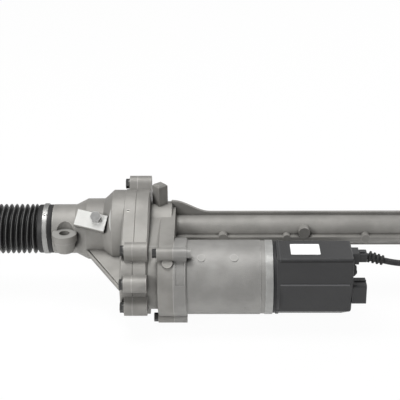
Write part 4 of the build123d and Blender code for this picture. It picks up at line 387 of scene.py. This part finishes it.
forged.set(Base_Color=forged.mix((0.07, 0.07, 0.072), (0.13, 0.13, 0.132), scale),
           Roughness=0.45 + scale * 0.15, Normal=forged.bump(scale, 0.00015))
dress(forged, "left_tie_rod", "right_tie_rod")


# Inner pieces that aren't plain steel
# Laminated cores, enamelled copper, coated magnets, the nylon slides and seats, and the
# green circuit board. None of them shows until the gear is opened.
plates = Finish("laminated_core", Metallic=0.7, Roughness=0.45)
plates.set(Base_Color=plates.mix((0.16, 0.16, 0.17), (0.3, 0.3, 0.31), plates.x.wave(0.0006)))
dress(plates, "stator_core", "rotor_core")
coil = Finish("enamelled_copper", Metallic=0.8, Roughness=0.3)
coil.set(Base_Color=coil.mix((0.42, 0.17, 0.06), (0.7, 0.33, 0.14), coil.noise(500, 2)))
dress(coil, "stator_windings")
magnet = Finish("coated_magnet", Metallic=0.3, Roughness=0.4)
magnet.set(Base_Color=magnet.mix((0.05, 0.05, 0.06), (0.1, 0.1, 0.11), magnet.noise(300, 2)))
dress(magnet, "rotor_magnets", "magnet_ring")
nylon = Finish("natural_nylon", Roughness=0.5)
nylon.set(Base_Color=nylon.mix((0.62, 0.58, 0.46), (0.72, 0.68, 0.56), nylon.noise(200, 2)))
dress(nylon, "ball_return", "rack_bush", "yoke", "left_ball_seat", "right_ball_seat", "rack_stops")
board = Finish("circuit_board", Roughness=0.35)
board.set(Base_Color=board.mix((0.01, 0.09, 0.035), (0.02, 0.15, 0.06), board.noise(300, 2)))
dress(board, "circuit_board")


# Control unit and plastic covers
# The unit is a moulded box of black glass-filled nylon on the motor's end, with a flat lid on
# top. The sensor's cover, the sockets and the plugs are moulded of the same.
unit_start, unit_end, unit_edge = 0.25, 0.333, 0.0005
lid_joint, ridge, front_wall = (0.0108, 0.0126), -0.07945, -0.07875
vent_span, vent_rise, vent_back = (0.2495, 0.2585), (-0.0668, -0.0648), -0.0615
plastic = Finish("black_moulded_nylon")
fibre = plastic.noise(1300, 3)
cloud = plastic.noise(22, 4)
polished = plastic.worn(0.001)
on_unit = plastic.x.between(unit_start, unit_end, unit_edge)
lid_line = plastic.z.between(*lid_joint) * (1 - plastic.y.past(front_wall, 0.00075))
# The unit's front ridge is painted lighter below: a painted highlight along its edge.
painted_ridge_highlight = 1 - plastic.y.past(ridge, 0.00015)
# The vent's patch is painted near-black below: painted shade of its opening.
painted_vent_shade = plastic.z.between(*vent_rise) * plastic.x.between(*vent_span) * (1 - plastic.y.past(vent_back, 0.0005))
moulded = plastic.mix((0.017, 0.017, 0.018), (0.032, 0.032, 0.033), cloud)
moulded = plastic.mix(moulded, (0.085, 0.085, 0.088), polished * 0.8)
moulded = plastic.mix(moulded, (0.11, 0.11, 0.115), painted_ridge_highlight * on_unit * 0.8)
plastic.set(Base_Color=plastic.mix(moulded, (0.003, 0.003, 0.003), (lid_line + painted_vent_shade) * on_unit),
            Roughness=0.4 + fibre * 0.16, Normal=plastic.bump(fibre, 0.00018))
dress(plastic, "unit_housing", "unit_lid", "sensor_socket", "sensor_plug", "torque_plug", "sensor_housing",
      "power_socket")


# Label
# A white paper label with rounded corners is glued on the unit's lid. Nothing is printed on
# it, and it is a thin raised sheet.
label_corners = [(262.5, -68.0), (295.5, -68.0), (295.5, -41.5), (262.5, -41.5)]
label_base, label_rise, label_round = 15.43, 0.15, 1.4
corner_steps, corner_start = 6, 180


def skin(form, rings, looped):
    """Joins each ring to the next with faces: round to the first if looped, else with end caps."""
    followers = rings[1:] + rings[:1] if looped else rings[1:]
    for near, far in zip(rings, followers):
        for i in range(len(near)):
            j = (i + 1) % len(near)
            form.faces.new((near[i], near[j], far[j], far[i]))
    if not looped:
        form.faces.new(reversed(rings[0]))
        form.faces.new(rings[-1])
    bmesh.ops.recalc_face_normals(form, faces=form.faces)


def settle(name, form, body, slot, *nodes, smooth=True):
    """Makes a mesh into a piece that rides on a body, if one is named."""
    mesh = bpy.data.meshes.new(name)
    form.to_mesh(mesh)
    form.free()
    if smooth:
        mesh.polygons.foreach_set("use_smooth", [True] * len(mesh.polygons))
    piece = bpy.data.objects.new(name, mesh)
    bpy.context.scene.collection.objects.link(piece)
    if body:
        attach(piece, body)
    if nodes:
        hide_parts(*nodes)
    return piece


outline = []
inward = ((1, 1), (-1, 1), (-1, -1), (1, -1))
for number, ((x, y), (inward_x, inward_y)) in enumerate(zip(label_corners, inward)):
    centre_x, centre_y = x + inward_x * label_round, y + inward_y * label_round
    for step in range(corner_steps + 1):
        angle = math.radians(corner_start + 90 * (number + step / corner_steps))
        outline.append((centre_x + label_round * math.cos(angle), centre_y + label_round * math.sin(angle)))
form = bmesh.new()
rings = [[form.verts.new((x * MM, y * MM, z * MM)) for x, y in outline]
         for z in (label_base, label_base + label_rise)]
skin(form, rings, looped=False)
label = settle("label", form, "root", "black_plastic", smooth=False)
paper = Finish("white_label", Roughness=0.45)
paper.set(Base_Color=paper.mix((0.86, 0.86, 0.86), (0.92, 0.92, 0.92), paper.noise(90, 3)))
dress(paper, label)


# Boots
# Each end of the gear is sealed by a bellows of black rubber, built here as three still pieces; on the car it
# stretches as the bar slides and bends as the tie rod swings. Bands of steel hold it at both ends.
boot_start, boot_end, cuff_length = -16.3, -237.0, 12.0
cuff_radius, cuff_rim_radius, cuff_bore = 29.2, 28.2, 26.6
cuff_mouth, cuff_mouth_radius, cuff_shoulder, cuff_rim = 0.6, 28.6, -33.0, -34.2
small_cuff_radius, small_cuff_edge, small_cuff_break = 10.2, 9.7, 0.5
big_radius, groove_radius, small_peak, small_groove, rod_radius = 30.0, 23.6, 17.0, 10.6, 8.3
first_fold, fold_pitch, straight_share, boot_wall = -35.2, 6.4, 0.6, 1.6
folds = int((first_fold - boot_end - cuff_length) / fold_pitch)
fold_profile = ((0.0, 0.0), (0.12, 0.08), (0.34, 0.62), (0.43, 0.94), (0.5, 1.0), (0.57, 0.94),
                (0.66, 0.62), (0.88, 0.08))
fold_rest, highlight_rise = 0.12, 0.9


def boot_outline():
    """Station, radius and share of painted crest highlight along the boot's outside, from the casting to the
    rod.
    """
    points = [(boot_start, cuff_mouth_radius, 0.0), (boot_start - cuff_mouth, cuff_radius, 0.0),
              (cuff_shoulder, cuff_radius, 0.0), (cuff_rim, cuff_rim_radius, 0.0)]
    for number in range(folds):
        x = first_fold - number * fold_pitch
        narrow = max(0.0, (number / folds - straight_share) / (1 - straight_share))
        peak = big_radius + (small_peak - big_radius) * narrow
        valley = groove_radius + (small_groove - groove_radius) * narrow
        for share, height in fold_profile:
            radius = valley + (peak - valley) * height
            points.append((x - share * fold_pitch, radius, float(height > highlight_rise)))
    last = points[-1][0] - fold_pitch * fold_rest
    return points + [(last, small_groove, 0.0), (boot_end + cuff_length, small_cuff_radius, 0.0),
                     (boot_end + small_cuff_break, small_cuff_radius, 0.0), (boot_end, small_cuff_edge, 0.0)]


outside = boot_outline()
inside = [(x, max(rod_radius, radius - boot_wall), 0.0) for x, radius, crest_highlight in reversed(outside[3:-1])]
inside = [(boot_end, rod_radius, 0.0)] + inside + [(cuff_rim, cuff_bore, 0.0), (boot_start, cuff_bore, 0.0)]

lean, lean_start, lean_end = 0.07, -35.0, -140.0
lean_rise, lean_fade, lean_y, lean_z = 8, 30, 0.4, 0.92


def leaned(x, y, z):
    """How far a fold stands off its plane, because the folds lie askew near the casting."""
    share = min(1.0, max(0.0, (lean_start - x) / lean_rise)) * min(1.0, max(0.0, (x - lean_end) / lean_fade))
    return lean * share * (z * lean_z + y * lean_y)


def turned(points, around=120):
    """A closed mesh turned about the bar's axis from stations and radii in millimetres."""
    form = bmesh.new()
    highlight_layer = form.verts.layers.float.new("crest_highlight")
    rings = []
    for x, radius, crest_highlight in points:
        ring = []
        for i in range(around):
            angle = 2 * math.pi * i / around
            y, z = radius * math.cos(angle), radius * math.sin(angle)
            vertex = form.verts.new(((x + leaned(x, y, z)) * MM, (bar_y + y) * MM, z * MM))
            vertex[highlight_layer] = crest_highlight
            ring.append(vertex)
        rings.append(ring)
    skin(form, rings, looped=True)
    return form


def mirror(form):
    """Turns a form of the gear's left half into its right-hand twin."""
    for vertex in form.verts:
        vertex.co.x = 2 * middle * MM - vertex.co.x
    bmesh.ops.reverse_faces(form, faces=form.faces)


def stretch(points, low, high):
    """The part of an outline whose stations lie between two cuts, with points on the cuts."""
    kept = []
    for (x0, r0, crest_highlight), (x1, r1, _) in zip(points, points[1:]):
        if low <= x0 <= high:
            kept.append((x0, r0, crest_highlight))
        for cut in ((high, low) if x1 < x0 else (low, high)):
            if (x0 - cut) * (x1 - cut) < 0:
                kept.append((cut, r0 + (r1 - r0) * (cut - x0) / (x1 - x0), crest_highlight))
    if low <= points[-1][0] <= high:
        kept.append(points[-1])
    return kept


rubber = Finish("boot_rubber", Specular_IOR_Level=0.6)
bloom = rubber.noise(45, 4)
pores = rubber.noise(1100, 2)
# The folds' crests are painted lighter grey: a painted highlight along each crest.
painted_crest_highlight = rubber.node("ShaderNodeAttribute", {"attribute_name": "crest_highlight"}, {}, 2)
aged = rubber.mix((0.004, 0.004, 0.004), (0.008, 0.008, 0.008), bloom)
rubber.set(Base_Color=rubber.mix(aged, (0.085, 0.085, 0.083), painted_crest_highlight * 0.9), Roughness=0.5 + bloom * 0.12,
           Normal=rubber.bump(pores, 0.00008))

fold_start, lift_start, sweep_start, sweep_end = -29.5, -143.0, -156.5, -179.0
cuts = (boot_start, lift_start, sweep_start, boot_end)
bends = ((fold_start, lift_start), (lift_start, sweep_start), (sweep_start, sweep_end))
for side in ("left", "right"):
    for number, part in enumerate(("fold", "lift", "sweep")):
        high, low = cuts[number:number + 2]
        start, end = bends[number]
        form = turned(stretch(outside, low, high) + stretch(inside, low, high))
        if side == "right":
            mirror(form)
            start, end = 2 * middle - start, 2 * middle - end
        piece = settle(side + "_boot_" + part, form, None, "boot_rubber", side + "_boot")
        dress(rubber, piece)
        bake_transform(piece)
dress(rubber, "dust_seal", "drive_belt")


# Boot bands and clips
# A rolled steel band holds each boot on its casting. Its end laps over it as a tongue, which a
# hollow rivet locks. A spring clip of the same steel holds the small cuff on the tie rod.
band = Finish("rolled_band_steel", Metallic=0.9)
rolled = band.noise(160, 3, (6.0, 1.0, 1.0))
band.set(Base_Color=band.mix((0.3, 0.3, 0.29), (0.42, 0.42, 0.41), rolled), Roughness=0.38 + rolled * 0.16,
         Normal=band.bump(rolled, 0.00004))
dress(band, "left_cuff_clip", "right_cuff_clip")

clamp_middle, clamp_width, clamp_inner, clamp_outer, clamp_edge = -24.8, 6.0, 29.25, 30.0, 0.25
tongue_width, tongue_low, tongue_high, tongue_outer, tongue_step = 4.8, 3, 150, 30.75, 3
rivet_angle, rivet_radius, rivet_hole, rivet_sides = math.radians(59), 2.3, 1.1, 24
rivet_sink, rivet_rise, rivet_straight = 0.6, 0.7, 0.7
rivet_round, rivet_lip, rivet_dish = 0.4, 0.2, 0.1


def band_section(width, inner, outer):
    """Stations and radii of a band with broken outer edges."""
    low, high = clamp_middle - width / 2, clamp_middle + width / 2
    return [(low, inner), (low, outer - clamp_edge), (low + clamp_edge, outer), (high - clamp_edge, outer),
            (high, outer - clamp_edge), (high, inner)]


def arched(form, profile, low, high, step):
    """Sweeps a closed profile of stations and radii over part of a turn, in degrees."""
    rings = []
    for degree in range(low, high + 1, step):
        angle = math.radians(degree)
        rings.append([form.verts.new((x * MM, (bar_y - radius * math.cos(angle)) * MM,
                                      radius * math.sin(angle) * MM)) for x, radius in profile])
    skin(form, rings, looped=False)


def rings_along(form, base, axes, profile, around):
    """Round rings from pairs of reach and radius. The first of the three axes is the rings' own."""
    axis, across, along = axes
    rings = []
    for reach, radius in profile:
        ring = []
        for i in range(around):
            angle = 2 * math.pi * i / around
            at = base + axis * reach + (across * math.cos(angle) + along * math.sin(angle)) * radius
            ring.append(form.verts.new(at * MM))
        rings.append(ring)
    return rings


def clamp_form():
    """A pressed band, its overlapping tongue and the hollow rivet that locks them."""
    form = turned([(x, radius, 0) for x, radius in band_section(clamp_width, clamp_inner, clamp_outer)])
    tongue = band_section(tongue_width, clamp_outer - clamp_edge, tongue_outer)
    arched(form, tongue, tongue_low, tongue_high, tongue_step)
    outward, across = Vector((0, -math.cos(rivet_angle), math.sin(rivet_angle))), Vector((1, 0, 0))
    base = Vector((clamp_middle, bar_y, 0)) + outward * (tongue_outer - rivet_sink)
    shoulder, top = rivet_sink + rivet_rise * rivet_straight, rivet_sink + rivet_rise
    profile = ((0, rivet_radius), (shoulder, rivet_radius), (top, rivet_radius - rivet_round),
               (top, rivet_hole + rivet_lip), (top - rivet_dish, rivet_hole), (0, rivet_hole))
    skin(form, rings_along(form, base, (outward, across, outward.cross(across)), profile, rivet_sides),
         looped=True)
    return form


for side in ("left", "right"):
    form = clamp_form()
    if side == "right":
        mirror(form)
    piece = settle(side + "_boot_clamp", form, "root", "band_steel", "boot_clamps", smooth=False)
    dress(band, piece)


# Tie rod threads
# Each tie rod ends in a thread for its track-rod end. It is one helical ridge of steel, which
# fades out at both ends and is sunk a little into the rod.
rod_end, thread_start, thread_sides = -336.0, 2, 28
thread_pitch, thread_length, thread_root, thread_crest = 1.5, 38.0, 6.85, 7.3
thread_section = ((-0.36, 0.0), (-0.08, 1.0), (0.08, 1.0), (0.36, 0.0))


def thread_form():
    """The ridge, from a section in shares of its pitch and height."""
    form = bmesh.new()
    turns = int(thread_length / thread_pitch)
    rings = []
    for step in range(thread_sides * turns + 1):
        angle = 2 * math.pi * step / thread_sides
        x = rod_end + thread_start + step / thread_sides * thread_pitch
        fade = min(1.0, step / thread_sides, turns - step / thread_sides)
        ring = []
        for offset, height in thread_section:
            radius = thread_root + (thread_crest - thread_root) * fade * height
            ring.append(form.verts.new(((x + offset * thread_pitch) * MM,
                                        (bar_y + radius * math.cos(angle)) * MM,
                                        radius * math.sin(angle) * MM)))
        rings.append(ring)
    skin(form, rings, looped=False)
    return form


for side in ("left", "right"):
    form = thread_form()
    if side == "right":
        mirror(form)
    piece = settle(side + "_rod_thread", form, side + "_rod", "bar_steel", smooth=False)
    dress(forged, piece)


# Input shaft splines
# The steering column's joint grips the input shaft by fine splines of steel. They are one
# ring of ridges round the shaft's top, chamfered at both ends. Their sizes are in metres.
shaft_low, shaft_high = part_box("input_shaft")
spline_x, spline_y = (shaft_low.x + shaft_high.x) / 2, (shaft_low.y + shaft_high.y) / 2
spline_count, spline_root, spline_crest, spline_break = 36, 0.0088, 0.0094, 0.0008
spline_drop, spline_gap = 0.0175, 0.0014
spline_low, spline_high = shaft_high.z - spline_drop, shaft_high.z - spline_gap
ridge_section = (0.0, 1.0, 1.0, 0.0)
form = bmesh.new()
rings = []
for z, share in ((spline_low, 0.0), (spline_low + spline_break, 1.0), (spline_high - spline_break, 1.0),
                 (spline_high, 0.0)):
    ring = []
    for i, height in enumerate(ridge_section * spline_count):
        radius = spline_root + (spline_crest - spline_root) * share * height
        angle = 2 * math.pi * i / (spline_count * len(ridge_section))
        x, y = spline_x + radius * math.cos(angle), spline_y + radius * math.sin(angle)
        ring.append(form.verts.new((x, y, z)))
    rings.append(ring)
skin(form, rings, looped=False)
piece = settle("input_splines", form, "input", "bar_steel", smooth=False)
dress(steel, piece)


# Lead sleeve
# A ribbed rubber sleeve guards the lead where it leaves its plug. It narrows towards the lead
# and is turned about the lead's own first direction.
sleeve_start, sleeve_end, sleeve_steps, sleeve_sides = -12.0, 5.0, 48, 48
sleeve_bore, ribs, rib_high, rib_low, rib_sharpness, sleeve_taper = 3.4, 3.5, 6.7, 4.9, 9, 0.16
leave = (Vector(lead_points[1]) - Vector(lead_points[0])).normalized()
sideways = leave.cross(Vector((0, 0, 1))).normalized()
profile = [(sleeve_start, sleeve_bore)]
for step in range(sleeve_steps + 1):
    share = step / sleeve_steps
    swell = 1 / (1 + math.exp(-rib_sharpness * math.sin(2 * math.pi * share * ribs)))
    radius = (rib_low + (rib_high - rib_low) * swell) * (1 - sleeve_taper * share)
    profile.append((sleeve_start + (sleeve_end - sleeve_start) * share, radius))
profile.append((sleeve_end, sleeve_bore))
form = bmesh.new()
axes = (leave, sideways, sideways.cross(leave))
skin(form, rings_along(form, Vector(lead_points[0]), axes, profile, sleeve_sides), looped=True)
piece = settle("lead_sleeve", form, "root", "boot_rubber", "grommet")
dress(rubber, piece)


# Lock clip
# A moulded nylon clip on the control unit's end, between the two plugs. Its hook keeps the
# supply plug from backing out.
clip_outline = [(332, -12.5), (334.5, -12.5), (337.2, -9.0), (337.2, -6.2), (335.0, -6.2), (335.0, -4.4),
                (336.6, -4.4), (336.6, -1.6), (334.0, 0.2), (332, 0.2)]
clip_low, clip_high = -66.5, -61.5
form = bmesh.new()
rings = [[form.verts.new((x * MM, y * MM, z * MM)) for x, z in clip_outline] for y in (clip_low, clip_high)]
skin(form, rings, looped=False)
piece = settle("lock_clip", form, "root", "black_plastic", smooth=False)
dress(plastic, piece)
